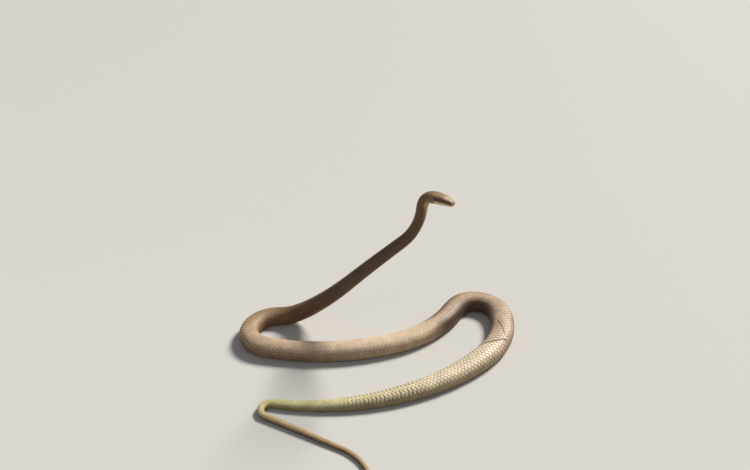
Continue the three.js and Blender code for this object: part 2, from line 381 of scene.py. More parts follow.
    def point(self, at: np.ndarray, angle: np.ndarray) -> np.ndarray:
        """Gives points of the surface.

        Args:
            at: Distances from the nose.
            angle: Angles round from the back's middle.

        Returns:
            The points, in mm.
        """
        _, side, back = self.directions(at)
        across, up = self.outline(at, angle)
        return self.middle(at) + side * across[..., None] + back * up[..., None]

    def angle_at(self, at: np.ndarray, share: np.ndarray) -> np.ndarray:
        """Turns shares of the way round into angles.

        Args:
            at: Distances from the nose.
            share: Shares of the way round.

        Returns:
            The angles, in degrees.
        """
        row = np.clip(at / self.walk_step, 0, len(self.stations) - 1.001)
        column = np.clip(np.abs(share), 0.0, 1.0) * self.round_steps
        column = np.minimum(column, self.round_steps - 1e-6)
        r, c = row.astype(int), column.astype(int)
        fr, fc = row - r, column - c
        near = self.angles[r, c] * (1 - fc) + self.angles[r, c + 1] * fc
        far = self.angles[r + 1, c] * (1 - fc) + self.angles[r + 1, c + 1] * fc
        return np.sign(share) * (near * (1 - fr) + far * fr)

    def half_girth(self, at: np.ndarray) -> np.ndarray:
        """Gives the way round from the back's middle to the belly's."""
        return np.interp(at, self.stations, self.half_round)

    def lay(self, at: np.ndarray, share: np.ndarray, lift: np.ndarray) -> np.ndarray:
        """Lays points over the form, at a height above its surface.

        Args:
            at: Distances from the nose.
            share: Shares of the way round; past 1 a place goes on up the other side.
            lift: Heights above the surface, negative inside it.

        Returns:
            The points, in mm.
        """
        over = np.abs(share) > 1.0
        share = np.where(over, -np.sign(share) * (2.0 - np.abs(share)), share)
        angle = self.angle_at(at, share)
        here = self.point(at, angle)
        lengthwise = self.point(at + self.probe_along, angle) - self.point(at - self.probe_along, angle)
        ringwise = self.point(at, angle + self.probe_round) - self.point(at, angle - self.probe_round)
        out = unit(np.cross(ringwise, lengthwise))
        outward = np.sum(out * (here - self.middle(at)), axis=-1, keepdims=True)
        return here + out * np.where(outward < 0, -1.0, 1.0) * lift[..., None]


class View(Enum):
    """The side from which a line on the head is drawn."""

    CROWN = "seen from above, by its distance from the middle"
    SIDE = "seen from the side, by its height over the head's middle line"
    CHIN = "seen from below, by its distance from the middle"


@dataclass(frozen=True)
class Seam:
    """A line between two shields of the head, drawn from one side in mm, on the left and right alike."""

    view: View
    points: tuple[tuple[float, float], ...]


MOUTH_LINE = Seam(View.SIDE, ((0.55, -2.6), (10, -3.2), (30, -4.4), (45, -3.9), (53, -1.8)))
SEAMS = (
    Seam(View.CROWN, ((2.2, 0), (18.5, 0))),
    Seam(View.CROWN, ((2.2, 0), (2.5, 2.4), (2.1, 4.6))),
    Seam(View.CROWN, ((9.6, 0), (9.3, 4), (8.2, 9.8))),
    Seam(View.CROWN, ((18.5, 0), (18.1, 3.0), (19.2, 5.4), (17.8, 9.6), (18.6, 12.6))),
    Seam(View.CROWN, ((19.2, 5.4), (25.0, 5.0), (31.5, 3.9), (34.8, 0))),
    Seam(View.CROWN, ((31.5, 3.9), (33.2, 8.2), (34.4, 13.2))),
    Seam(View.CROWN, ((34.8, 0), (60.0, 0))),
    Seam(View.CROWN, ((34.4, 13.2), (40, 13.4), (45, 11.8), (48.0, 8.4), (49.4, 4), (50.0, 0))),
    Seam(View.CROWN, ((48.0, 8.4), (52.5, 9.4), (57.5, 6.6), (59.6, 2.2), (60.0, 0))),
    Seam(View.SIDE, ((2.1, 6.2), (2.9, 1.8), (3.4, -2.7))),
    Seam(View.SIDE, ((2.3, 5.4), (9.0, 6.5), (14, 7.9), (18.6, 9.4), (22.0, 10.0), (25.6, 9.0))),
    Seam(View.SIDE, ((6.6, 5.9), (6.9, 0.4))),
    Seam(View.SIDE, ((13.2, 7.6), (13.8, 4.0), (13.4, 0.6))),
    Seam(View.SIDE, ((3.0, 0.5), (8, 0.2), (14, 0.6), (20, 0.7), (24.6, 1.6))),
    Seam(View.SIDE, ((33.2, 1.3), (38, 1.2), (46, 1.8), (53, 2.6), (55, -1.0))),
    Seam(View.SIDE, ((8.2, 0.2), (8.0, -2.9))),
    Seam(View.SIDE, ((13.0, 0.6), (12.8, -3.2))),
    Seam(View.SIDE, ((18.6, 0.7), (18.4, -3.6))),
    Seam(View.SIDE, ((25.2, 1.2), (24.8, -4.0))),
    Seam(View.SIDE, ((32.0, 0.9), (32.2, -4.3))),
    Seam(View.SIDE, ((39.4, 1.2), (39.8, -4.1))),
    Seam(View.SIDE, ((47.0, 1.9), (47.6, -3.3))),
    Seam(View.SIDE, ((32.8, 7.4), (37.6, 8.6))),
    Seam(View.SIDE, ((33.4, 4.4), (38.0, 4.4))),
    Seam(View.SIDE, ((35.6, 11.4), (37.6, 8.6), (38.2, 4.4), (37.6, 1.3))),
    Seam(View.SIDE, ((38.0, 5.6), (46, 6.4), (53.6, 7.2))),
    Seam(View.SIDE, ((46.4, 13.5), (46.0, 6.4), (46.4, 1.9))),
    Seam(View.SIDE, ((52.6, 14.1), (53.8, 7.2), (53.0, 2.6))),
    Seam(View.CHIN, ((4.4, 0), (3.8, 3.4), (2.4, 5.6))),
    Seam(View.CHIN, ((3.9, 3.2), (10, 5.6), (20, 8.8), (32, 12.2), (43, 15.2), (53, 17.4))),
    Seam(View.CHIN, ((4.4, 0), (29.5, 0))),
    Seam(View.CHIN, ((17.4, 0), (16.8, 4.2), (14.6, 7.2))),
    Seam(View.CHIN, ((29.5, 0), (29.4, 4.4), (26.4, 10.6))),
    Seam(View.SIDE, ((6.6, -3.1), (6.2, -5.4))),
    Seam(View.SIDE, ((11.0, -3.3), (10.6, -6.2))),
    Seam(View.SIDE, ((16.4, -3.6), (15.8, -7.0))),
    Seam(View.SIDE, ((22.8, -4.0), (22.0, -8.0))),
    Seam(View.SIDE, ((30.0, -4.4), (29.0, -9.2))),
    Seam(View.SIDE, ((38.0, -4.2), (37.0, -10.2))),
    Seam(View.SIDE, ((46.0, -3.8), (45.0, -11.0))),
)


@dataclass(frozen=True)
class Mark:
    """A mark on the head: the name of its mask, how strong it is and its colour."""

    name: str
    strength: float
    colour: Screen


HEAD_MARKS = (
    # Partly the head's own darker brown, partly painted shade on its side below the brow.
    Mark("streak", 0.76, (62, 42, 26)),
    Mark("lip", 0.9, (226, 204, 164)),
    Mark("seam", 0.6, (58, 44, 28)),
    # Painted shade in the mouth line and the nostrils.
    Mark("dark", 1.0, (26, 17, 12)),
)


@dataclass
class HeadRelief:
    """The fine relief of the head: its shields, mouth line, nostrils and the rims round the eyes."""

    form: Form
    sample: float = 0.2
    groove_depth: float = 0.26
    groove_width: float = 0.34
    shield_dome: float = 0.16
    shield_slope: float = 0.9
    mouth_depth: float = 1.0
    mouth_width: float = 0.42
    lip: float = 0.3
    lip_reach: float = 1.6
    lip_flattens: Span = (48.0, 56.0)
    lip_pales_up: Span = (0.1, 1.7)
    lip_pales_along: Span = (42.0, 58.0)
    # Where the head's side is painted darker, partly own colour and partly shade.
    shaded_side_up: Band = Band(-6.0, 12.0, 30.0, 46.0)
    shaded_side_along: Band = Band(1.0, 9.0, 48.0, 66.0)
    nostril_at: float = 6.8
    nostril_up: float = 3.4
    nostril_width: float = 0.95
    nostril_depth: float = 1.3
    eye_at: float = 29.0
    eye_up: float = 5.4
    eye_side: float = 12.7
    eye_radius: float = 5.1
    rim_height: float = 0.35
    rim_out: float = 0.45
    rim_width: float = 0.5
    socket_depth: float = 2.4
    socket_edge: Span = (-0.5, 0.1)
    ring_out: float = 1.3
    ring_width: float = 0.3

    def __post_init__(self) -> None:
        """Spreads the seams over the head as close points that a distance is measured to."""
        self.seams = self._tree([self._trace(seam) for seam in SEAMS])
        self.mouth = self._tree([self._trace(MOUTH_LINE)])
        nostril = Seam(View.SIDE, ((self.nostril_at, self.nostril_up), (self.nostril_at, self.nostril_up)))
        self.nostrils = self._tree([self._trace(nostril)[:, :1]])

    def _angle(self, view: View, at: np.ndarray, reach: np.ndarray) -> np.ndarray:
        """Turns a drawn line's second coordinate into an angle round the section.

        Args:
            view: The side that the line is drawn from.
            at: Distances from the nose.
            reach: Heights or distances from the middle, as the view says.

        Returns:
            The angles, in degrees.
        """
        snout = np.minimum(at / self.form.snout_round, 1.0)
        rounding = np.sqrt(1.0 - (1.0 - snout) ** 2)
        if view is View.SIDE:
            high = rounding * self.form.above(at)
            low = rounding * self.form.below(at)
            share = np.where(reach < 0, -reach / low, reach / high)
            square = np.where(reach < 0, self.form.chin_square, self.form.crown_square)
            tilt = np.degrees(np.arcsin(np.clip(share, 0, 1) ** (square / 2.0)))
            return 90.0 - np.sign(reach) * tilt
        square = self.form.crown_square if view is View.CROWN else self.form.chin_square
        share = np.clip(reach / (rounding * self.form.width(at) / 2.0), 0, 1)
        angle = np.degrees(np.arcsin(share ** (square / 2.0)))
        return angle if view is View.CROWN else 180.0 - angle

    def _trace(self, seam: Seam) -> np.ndarray:
        """Samples a seam on the right and the left side, closest where it starts.

        Args:
            seam: The drawn line.

        Returns:
            Points in mm, as side by sample by coordinate.
        """
        drawn = np.array(seam.points, float)
        run = np.concatenate([[0.0], np.cumsum(np.hypot(*np.diff(drawn, axis=0).T))])
        samples = 2 * max(int(run[-1] / self.sample), 1) + 1
        places = run[-1] * np.linspace(0, 1, samples) ** 2
        at = np.interp(places, run, drawn[:, 0])
        angle = self._angle(seam.view, at, np.interp(places, run, drawn[:, 1]))
        return np.stack([self.form.point(at, angle), self.form.point(at, -angle)])

    @staticmethod
    def _tree(traces: list[np.ndarray]) -> kdtree.KDTree:
        """Puts the points of traces in a tree for nearest distances.

        Args:
            traces: Sampled lines.

        Returns:
            The tree.
        """
        points = np.concatenate([trace.reshape(-1, 3) for trace in traces])
        tree = kdtree.KDTree(len(points))
        for k, point in enumerate(points):
            tree.insert(point, k)
        tree.balance()
        return tree

    @staticmethod
    def _away(tree: kdtree.KDTree, points: np.ndarray) -> np.ndarray:
        """Gives each point's distance to the nearest point in a tree."""
        return np.array([tree.find(point)[2] for point in points])

    def eye_centres(self) -> list[np.ndarray]:
        """Gives the centres of the left and the right eye.

        Returns:
            Two points, in mm.
        """
        along, side, back = (v[0] for v in self.form.directions(np.array([0.0])))
        start = self.form.middle(np.array([0.0]))[0] + along * self.eye_at + back * self.eye_up
        return [start - side * self.eye_side, start + side * self.eye_side]

    def press(self, points: np.ndarray, at: np.ndarray, angle: np.ndarray) -> dict[str, np.ndarray]:
        """Works out the relief and the marks of the head at points of its form.

        Args:
            points: Points of the form, in mm.
            at: Their distances from the nose.
            angle: Their angles round.

        Returns:
            The height to add as "height", and the masks "seam", "dark", "lip" and "streak".
        """
        away = self._away(self.seams, points)
        groove = np.exp(-((away / self.groove_width) ** 2))
        height = self.shield_dome * (1.0 - np.exp(-away / self.shield_slope)) - self.groove_depth * groove
        mouth_away = self._away(self.mouth, points)
        mouth = np.exp(-((mouth_away / self.mouth_width) ** 2))
        line = np.array(MOUTH_LINE.points, float)
        mouth_angle = self._angle(View.SIDE, at, np.interp(at, line[:, 0], line[:, 1]))
        upper = np.where(np.abs(angle) < mouth_angle, 1.0, -1.0)
        height += upper * self.lip * np.exp(-mouth_away / self.lip_reach) * fade_out(at, *self.lip_flattens)
        height -= self.mouth_depth * mouth
        nostril = np.exp(-((self._away(self.nostrils, points) / self.nostril_width) ** 4))
        height -= self.nostril_depth * nostril
        for centre in self.eye_centres():
            beyond = np.linalg.norm(points - centre, axis=-1) - self.eye_radius
            height += self.rim_height * np.exp(-(((beyond - self.rim_out) / self.rim_width) ** 2))
            height -= self.socket_depth * fade_out(beyond, *self.socket_edge)
            groove = np.maximum(groove, np.exp(-(((beyond - self.ring_out) / self.ring_width) ** 2)))
        _, rise = self.form.outline(at, angle)
        lip = fade_out(rise, *self.lip_pales_up) * fade_out(at, *self.lip_pales_along)
        # Partly own colour, partly painted shade: the side of the head below the brow, as if out of the
        # light.
        streak = self.shaded_side_up.cover(90.0 - np.abs(angle)) * self.shaded_side_along.cover(at)
        # Painted shade: the mouth line and the nostrils are darkened as hollows in shadow.
        dark = np.maximum(mouth, nostril)
        return {"height": height, "seam": groove, "dark": dark, "lip": lip, "streak": streak}


@dataclass(frozen=True)
class LatticeRow:
    """How the scales lie at a distance from the nose: their spacing, and a row's share of half the girth."""

    at: float
    spacing: float
    share: float


LATTICE = (
    LatticeRow(28, 4.4, 0.0714),
    LatticeRow(75, 5.6, 0.0714),
    LatticeRow(150, 7.8, 0.081),
    LatticeRow(430, 9.8, 0.0906),
    LatticeRow(900, 11.2, 0.1027),
    LatticeRow(1960, 12.4, 0.1027),
    LatticeRow(2400, 11.4, 0.1027),
    LatticeRow(2700, 9.9, 0.11),
    LatticeRow(2790, 9.4, 0.12),
    LatticeRow(2860, 8.8, 0.14),
    LatticeRow(3060, 8.2, 0.19),
    LatticeRow(3240, 7.4, 0.257),
    LatticeRow(3512, 5.0, 0.385),
)
# Where the small scales begin behind the head's shields: shares of the way round and distances.
SCALES_BEGIN = (
    (0.0, 59.5),
    (0.15, 56.5),
    (0.25, 53.5),
    (0.4, 52.5),
    (0.58, 52.5),
    (0.7, 45.0),
    (0.85, 34.0),
    (1.0, 29.5),
)


@dataclass(frozen=True)
class Fold:
    """A crease across the skin: its depth and width, and its places by distance and share of the girth."""

    depth: float
    width: float
    places: tuple[tuple[float, float], ...]


FOLDS = (
    Fold(
        1.5,
        2.7,
        (
            (2124, -0.42),
            (2114, -0.29),
            (2100, -0.2),
            (2088, -0.07),
            (2072, 0.03),
            (2056, 0.15),
            (2050, 0.24),
            (2052, 0.38),
        ),
    ),
    Fold(1.2, 2.2, ((1962, -0.2), (1994, -0.05), (2012, 0.04), (2034, 0.15))),
)


@dataclass
class Coat:
    """How deep the coat of scales is and where it begins; the skin lies under it by that depth."""

    form: Form
    full_depth: float = 0.9
    full_spacing: float = 12.0
    bare_depth: float = 0.1
    deepens: Span = (-2.0, 5.0)
    tip_bare: float = 5.0
    scutes_from: float = 76.0
    scutes_edge: float = 0.77
    vent: float = 2792.0
    off_fold: float = 9.0
    fold_reach: float = 30.0
    fold_ends: Band = Band(0.0, 0.12, 0.88, 1.0)
    fold_fades: Span = (3.0, 4.5)

    def __post_init__(self) -> None:
        """Counts the scales along the body."""
        at = [row.at for row in LATTICE]
        self.spacing = SmoothRows(at, [row.spacing for row in LATTICE])
        self.row_share = SmoothRows(at, [row.share for row in LATTICE])
        self.steps = np.arange(0.0, self.form.length + 1.0)
        self.counts = np.concatenate([[0.0], np.cumsum(1.0 / self.spacing(self.steps[:-1] + 0.5))])

    def begins(self, share: Numbers) -> np.ndarray:
        """Gives where the small scales begin at a share of the way round."""
        shares, places = zip(*SCALES_BEGIN)
        return np.interp(np.abs(share), shares, places)

    def depth(self, at: np.ndarray, share: np.ndarray) -> np.ndarray:
        """Gives how deep the skin lies under the form's surface.

        Args:
            at: Distances from the nose.
            share: Shares of the way round.

        Returns:
            The depths, in mm.
        """
        full = self.full_depth * self.spacing(at) / self.full_spacing
        begun = smooth_step(at - self.begins(share), *self.deepens)
        begun *= fade_out(at, self.form.length - 2.0 * self.tip_bare, self.form.length - self.tip_bare)
        return self.bare_depth + (full - self.bare_depth) * begun

    def _to_fold(self, crease: Fold, at: np.ndarray, share: np.ndarray) -> tuple[np.ndarray, ...]:
        """Measures places of the surface against one fold.

        Args:
            crease: The fold.
            at: Distances from the nose.
            share: Shares of the way round.

        Returns:
            The distances to the fold, the same with a sign for its two sides, and how far along the fold its
            nearest point is, from 0 to 1.
        """
        around = self.form.half_girth(at)
        away = np.full(at.shape, np.inf)
        signed, run = np.zeros(at.shape), np.zeros(at.shape)
        for part, ((x0, s0), (x1, s1)) in enumerate(zip(crease.places, crease.places[1:])):
            x, y = at - x0, share * around - s0 * around
            long, high = x1 - x0, (s1 - s0) * around
            t = np.clip((x * long + y * high) / (long**2 + high**2), 0, 1)
            dx, dy = x - t * long, y - t * high
            closer = np.hypot(dx, dy) < away
            away = np.where(closer, np.hypot(dx, dy), away)
            signed = np.where(closer, away * np.sign(long * dy - high * dx), signed)
            run = np.where(closer, (part + t) / (len(crease.places) - 1), run)
        return away, signed, run

    def creases(self, at: np.ndarray, share: np.ndarray) -> dict[str, np.ndarray]:
        """Works out the folds in the skin.

        Args:
            at: Distances from the nose.
            share: Shares of the way round.

        Returns:
            How far the folds press the surface in as "pressed", the distance to the nearest fold in widths of
            the fold, negative on one side, as "fold", and how strong that fold is there as "folded".
        """
        pressed, fold, folded = np.zeros(at.shape), np.full(at.shape, self.off_fold), np.zeros(at.shape)
        for crease in FOLDS:
            ends = [place for place, _ in crease.places]
            near = (at > min(ends) - self.fold_reach) & (at < max(ends) + self.fold_reach)
            if not near.any():
                continue
            away, signed, run = self._to_fold(crease, at[near], share[near])
            widths = away / crease.width
            strength = self.fold_ends.cover(run) * fade_out(widths, *self.fold_fades)
            nearer = widths < np.abs(fold[near])
            pressed[near] = np.maximum(pressed[near], crease.depth * strength * np.exp(-(widths**2)))
            fold[near] = np.where(nearer, signed / crease.width, fold[near])
            folded[near] = np.where(nearer, strength * crease.depth / FOLDS[0].depth, folded[near])
        return {"pressed": pressed, "fold": fold, "folded": folded}

    def place_of(self, count: Numbers) -> np.ndarray:
        """Gives the distance from the nose at a count of scales along the body."""
        return np.interp(count, self.counts, self.steps)

    def count(self, at: Numbers) -> np.ndarray:
        """Gives the count of scales along the body at distances from the nose."""
        return np.interp(at, self.steps, self.counts)


@dataclass(frozen=True)
class Unwrap:
    """The skin laid out flat in one square: the head in its own band, the body folded in strips above it."""

    length: float
    head_end: float = 70.0
    head_band: float = 0.4
    strips: int = 9
    margin: float = 0.004

    def strip_of(self, at: np.ndarray) -> np.ndarray:
        """Gives the strip that a distance from the nose falls in, or -1 on the head."""
        strip = (at - self.head_end) / (self.length - self.head_end) * self.strips
        return np.where(at < self.head_end, -1, np.clip(strip.astype(int), 0, self.strips - 1))

    def place(self, at: np.ndarray, share: np.ndarray, strip: np.ndarray) -> np.ndarray:
        """Gives flat places on the unwrap.

        Args:
            at: Distances from the nose.
            share: Shares of the way round, from -1 to 1.
            strip: The strips that the places belong to, so that a face stays in one.

        Returns:
            Pairs from 0 to 1.
        """
        half = (share + 1.0) / 2.0
        long = (self.length - self.head_end) / self.strips
        u = np.where(strip < 0, at / self.head_end, (at - self.head_end - strip * long) / long)
        high = (1.0 - self.head_band) / self.strips
        low = np.where(strip < 0, 0.0, self.head_band + strip * high)
        band = np.where(strip < 0, self.head_band, high)
        v = low + self.margin + half * (band - 2 * self.margin)
        return np.stack([self.margin + np.clip(u, 0, 1) * (1 - 2 * self.margin), v], axis=-1)


def deselect_all() -> None:
    """Leaves edit mode and deselects every object."""
    if bpy.context.object and bpy.context.object.mode != "OBJECT":
        bpy.ops.object.mode_set(mode="OBJECT")
    bpy.ops.object.select_all(action="DESELECT")


def make_active(piece: bpy.types.Object) -> None:
    """Selects one piece alone."""
    deselect_all()
    piece.select_set(True)
    bpy.context.view_layer.objects.active = piece


@contextmanager
def editing(piece: bpy.types.Object) -> Iterator[None]:
    """Opens a piece in edit mode with all of it selected, and leaves edit mode in the end.

    Args:
        piece: The piece.

    Yields:
        Nothing; the mesh operators in between act on the piece.
    """
    make_active(piece)
    bpy.ops.object.mode_set(mode="EDIT")
    bpy.ops.mesh.select_all(action="SELECT")
    yield
    bpy.ops.object.mode_set(mode="OBJECT")


def set_values(piece: bpy.types.Object, **values: np.ndarray) -> None:
    """Stores numbers for each vertex under the names that materials read.

    Args:
        piece: The piece.
        values: The numbers, by their names.
    """
    for name, numbers in values.items():
        layer = piece.data.attributes.new(name, "FLOAT", "POINT")
        layer.data.foreach_set("value", np.ascontiguousarray(numbers, np.float32).ravel())


def corner_vertices(mesh: bpy.types.Mesh) -> np.ndarray:
    """Gives the vertex of each face corner."""
    corners = np.empty(len(mesh.loops), np.int32)
    mesh.loops.foreach_get("vertex_index", corners)
    return corners


def set_bake_map(piece: bpy.types.Object, corners: np.ndarray) -> None:
    """Stores the flat places of the face corners as the piece's bake map."""
    layer = piece.data.uv_layers.new(name="OFBake")
    layer.data.foreach_set("uv", np.ascontiguousarray(corners, np.float32).ravel())


def smooth_faces(piece: bpy.types.Object) -> None:
    """Shades a piece smooth."""
    piece.data.polygons.foreach_set("use_smooth", np.ones(len(piece.data.polygons), bool))
    piece.data.update()


@dataclass
class Skin:
    """The one skin over all the flesh, fine on the head and coarser under the scales."""

    form: Form
    coat: Coat
    relief: HeadRelief
    unwrap: Unwrap
    head_sides: int = 288
    body_sides: int = 48
    snout_rings: int = 34
    snout_turn: float = 0.02
    fine_step: float = 0.34
    fine_end: float = 62.0
    head_step: float = 1.2
    head_end: float = 80.0
    body_step: float = 7.2
    tail_tip: float = 12.0
    tail_rings: int = 14
    tail_turn: float = 1.28
    relief_over: float = 4.0
    relief_fades: Span = (1.0, 4.0)
    bare_fades: Span = (3.0, 6.0)
    bare_tip: Span = (-9.0, -5.0)
    inner_shift: float = 3.0
    weld: float = 2e-5
    neck_reach: float = 4.0
    tip_reach: float = 2.0

    def _sheet(self, name: str, places: np.ndarray, sides: int, head: bool) -> bpy.types.Object:
        """Wraps a flat grid round the form as an open tube.

        Args:
            name: The piece's name.
            places: The distances of its rings from the nose.
            sides: How many faces go round.
            head: Whether the head's fine relief is pressed into it.

        Returns:
            The tube, open at its two ends.
        """
        deselect_all()
        rings = len(places)
        bpy.ops.mesh.primitive_grid_add(x_subdivisions=sides, y_subdivisions=rings - 1, size=1.0)
        piece = bpy.context.object
        piece.name = name
        shares = np.linspace(-1.0, 1.0, sides + 1)
        at, share = (grid.ravel() for grid in np.meshgrid(places, shares, indexing="ij"))
        angle = self.form.angle_at(at, share)
        base = self.form.point(at, angle)
        out = self._outwards(base.reshape(rings, sides + 1, 3), at)
        marks = {mark: np.zeros(len(at)) for mark in ("height", *(mark.name for mark in HEAD_MARKS))}
        if head:
            near = at < self.fine_end + self.relief_over
            for mark, values in self.relief.press(base[near], at[near], angle[near]).items():
                marks[mark][near] = values
            shown = fade_out(at - self.coat.begins(share), *self.relief_fades)
            marks["height"] *= shown
            marks["seam"] *= shown
        creases = self.coat.creases(at, share)
        lift = marks.pop("height") - self.coat.depth(at, share) - creases.pop("pressed")
        piece.data.vertices.foreach_set("co", ((base + out * lift[:, None]) * MM).ravel())
        bare = fade_out(at - self.coat.begins(share), *self.bare_fades)
        bare = np.maximum(bare, smooth_step(at - self.form.length, *self.bare_tip))
        set_values(piece, along=at / self.form.length, back=1.0 - np.abs(share), bare=bare)
        set_values(piece, beat=self.coat.count(at), **creases, **marks)
        corners = corner_vertices(piece.data).reshape(-1, 4)
        strip = np.repeat(self.unwrap.strip_of(at[corners].mean(axis=1)), 4)
        corners = corners.ravel()
        set_bake_map(piece, self.unwrap.place(at[corners], share[corners], strip))
        return piece

    def _outwards(self, grid: np.ndarray, at: np.ndarray) -> np.ndarray:
        """Gives the directions out of the form at the grid's points.

        Args:
            grid: The points, as ring by side by coordinate; the last side lies on the first.
            at: The points' distances from the nose, in one row.

        Returns:
            Unit vectors, in one row.
        """
        lengthwise = np.gradient(grid, axis=0)
        ringwise = np.roll(grid[:, :-1], -1, axis=1) - np.roll(grid[:, :-1], 1, axis=1)
        ringwise = np.concatenate([ringwise, ringwise[:, :1]], axis=1)
        out = unit(np.cross(ringwise, lengthwise)).reshape(-1, 3)
        outward = np.sum(out * (grid.reshape(-1, 3) - self.form.middle(at + self.inner_shift)), axis=-1)
        return out * np.where(np.median(outward) < 0, -1.0, 1.0)

    def build(self) -> bpy.types.Object:
        """Makes the two tubes, joins them into one skin and closes its ends.

        Returns:
            The skin.
        """
        snout, length = self.form.snout_round, self.form.length
        tip = snout * (1 - np.cos(np.linspace(self.snout_turn, math.pi / 2, self.snout_rings)))
        fine = np.arange(snout + self.fine_step, self.fine_end, self.fine_step)
        rear = np.arange(self.fine_end, self.head_end, self.head_step)
        head = self._sheet("skin", np.concatenate([tip, fine, rear]), self.head_sides, True)
        places = np.arange(self.head_end + 1.0, length - self.tail_tip - 1.0, self.body_step)
        ending = length - self.tail_tip * (1 - np.sin(np.linspace(0, self.tail_turn, self.tail_rings)))
        body = self._sheet("body_skin", np.concatenate([places, ending]), self.body_sides, False)
        make_active(head)
        body.select_set(True)
        bpy.ops.object.join()
        with editing(head):
            bpy.ops.mesh.remove_doubles(threshold=self.weld)
        self._close(head, self.head_end - self.neck_reach, self.head_end + self.neck_reach, bridge=True)
        self._close(head, 0.0, self.tip_reach, bridge=False)
        self._close(head, length - self.tip_reach, length, bridge=False)
        with editing(head):
            bpy.ops.mesh.normals_make_consistent(inside=False)
        smooth_faces(head)
        return head

    def _close(self, piece: bpy.types.Object, low: float, high: float, bridge: bool) -> None:
        """Closes the skin's open rings that lie between two distances from the nose.

        Args:
            piece: The skin.
            low: The lower distance.
            high: The higher distance.
            bridge: Whether two rings are joined by faces, or one is filled.
        """
        bpy.context.tool_settings.mesh_select_mode = (True, False, False)
        bpy.ops.object.mode_set(mode="EDIT")
        bpy.ops.mesh.select_all(action="DESELECT")
        bpy.ops.mesh.select_non_manifold(extend=False)
        bpy.ops.object.mode_set(mode="OBJECT")
        mesh = piece.data
        chosen = np.empty(len(mesh.vertices), bool)
        mesh.vertices.foreach_get("select", chosen)
        at = np.empty(len(mesh.vertices), np.float32)
        mesh.attributes["along"].data.foreach_get("value", at)
        at *= self.form.length
        bpy.ops.object.mode_set(mode="EDIT")
        bpy.ops.mesh.select_all(action="DESELECT")
        bpy.ops.object.mode_set(mode="OBJECT")
        mesh.vertices.foreach_set("select", chosen & (at >= low) & (at <= high))
        bpy.ops.object.mode_set(mode="EDIT")
        bpy.ops.mesh.select_mode(type="EDGE")
        if bridge:
            bpy.ops.mesh.bridge_edge_loops()
        else:
            bpy.ops.mesh.edge_face_add()
            bpy.ops.mesh.poke()
        bpy.ops.object.mode_set(mode="OBJECT")


@dataclass
class Plate:
    """One small closed plate, modelled once and laid many times.

    Its corners go from -0.5 to 0.5 along and across, and their height from 0 underneath to 1 at the top.
    """

    corners: np.ndarray
    faces: list[tuple[int, ...]]
    rim: np.ndarray


def read_plate(piece: bpy.types.Object) -> tuple[np.ndarray, list[tuple[int, ...]]]:
    """Reads a modelled plate and removes its object.

    Args:
        piece: The modelled plate.

    Returns:
        Its corners, and the numbers of the corners of each face.
    """
    corners = np.array([v.co[:] for v in piece.data.vertices])
    faces = [tuple(p.vertices) for p in piece.data.polygons]
    bpy.data.objects.remove(piece)
    return corners, faces


@dataclass
class ScalePlate:
    """The shape of one scale of the back and sides: a rounded rhomb with a bevelled edge."""

    sides: int = 16
    bevel: float = 0.075
    inner: float = 0.2
    rhomb: float = 1.12
    narrower_behind: float = 0.06

    def build(self) -> Plate:
        """Models the plate from a thin cylinder.

        Returns:
            The plate.
        """
        deselect_all()
        bpy.ops.mesh.primitive_cylinder_add(
            vertices=self.sides, radius=0.5, depth=1.0, end_fill_type="NGON", location=(0, 0, 0.5)
        )
        piece = bpy.context.object
        for face in piece.data.polygons:
            face.select = face.normal.z > 0.9
        bpy.context.tool_settings.mesh_select_mode = (False, False, True)
        bpy.ops.object.mode_set(mode="EDIT")
        bpy.ops.mesh.inset(thickness=self.bevel)
        bpy.ops.mesh.inset(thickness=self.inner)
        bpy.ops.mesh.poke()
        bpy.ops.object.mode_set(mode="OBJECT")
        bpy.ops.object.transform_apply(location=True, rotation=True, scale=True)
        corners, faces = read_plate(piece)
        x, y = corners[:, 0] * 2, corners[:, 1] * 2
        reach = np.hypot(x, y)
        rim = np.where(corners[:, 2] > 0.5, reach / reach.max(), 1.0)
        safe = np.maximum(reach, 1e-9)
        corners[:, 0] = reach * signed_power(x / safe, self.rhomb) / 2
        corners[:, 1] = reach * signed_power(y / safe, self.rhomb) / 2 * (1.0 - self.narrower_behind * x)
        return Plate(corners, faces, rim)


@dataclass
class ScutePlate:
    """The shape of one broad belly scute: a wide flat plate with a narrow bevel along its bowed hind edge."""

    across: int = 10
    along: int = 2
    bevel_from: float = 0.4
    bow: float = 0.35

    def build(self) -> Plate:
        """Models the plate from a flat grid given a thickness.

        Returns:
            The plate.
        """
        deselect_all()
        bpy.ops.mesh.primitive_grid_add(
            x_subdivisions=self.along, y_subdivisions=self.across, size=1.0, location=(0, 0, 1.0)
        )
        piece = bpy.context.object
        bpy.ops.object.transform_apply(location=True, rotation=True, scale=True)
        wall = piece.modifiers.new("wall", "SOLIDIFY")
        wall.thickness = 1.0
        wall.offset = -1.0
        bpy.ops.object.modifier_apply(modifier=wall.name)
        corners, faces = read_plate(piece)
        rim = np.where(corners[:, 0] > 0.4, 1.0, 0.0)
        corners[np.abs(corners[:, 0]) < 0.1, 0] = self.bevel_from
        taper = 1.0 - self.bow * (np.abs(corners[:, 1]) * 2) ** 4
        corners[:, 0] = np.where(corners[:, 0] > 0, corners[:, 0] * taper, corners[:, 0])
        return Plate(corners, faces, rim)


@dataclass
class Laying:
    """Where plates are laid and how large each is, as arrays with one number for each plate."""

    at: np.ndarray
    share: np.ndarray
    length: np.ndarray
    width: np.ndarray
    chance: np.ndarray

    def part(self, keep: np.ndarray) -> "Laying":
        """Gives the plates that are kept."""
        return Laying(*(values[keep] for values in vars(self).values()))

    @staticmethod
    def joined(parts: Sequence["Laying"]) -> "Laying":
        """Puts several layings together in their order."""
        return Laying(*(np.concatenate(values) for values in zip(*(vars(part).values() for part in parts))))


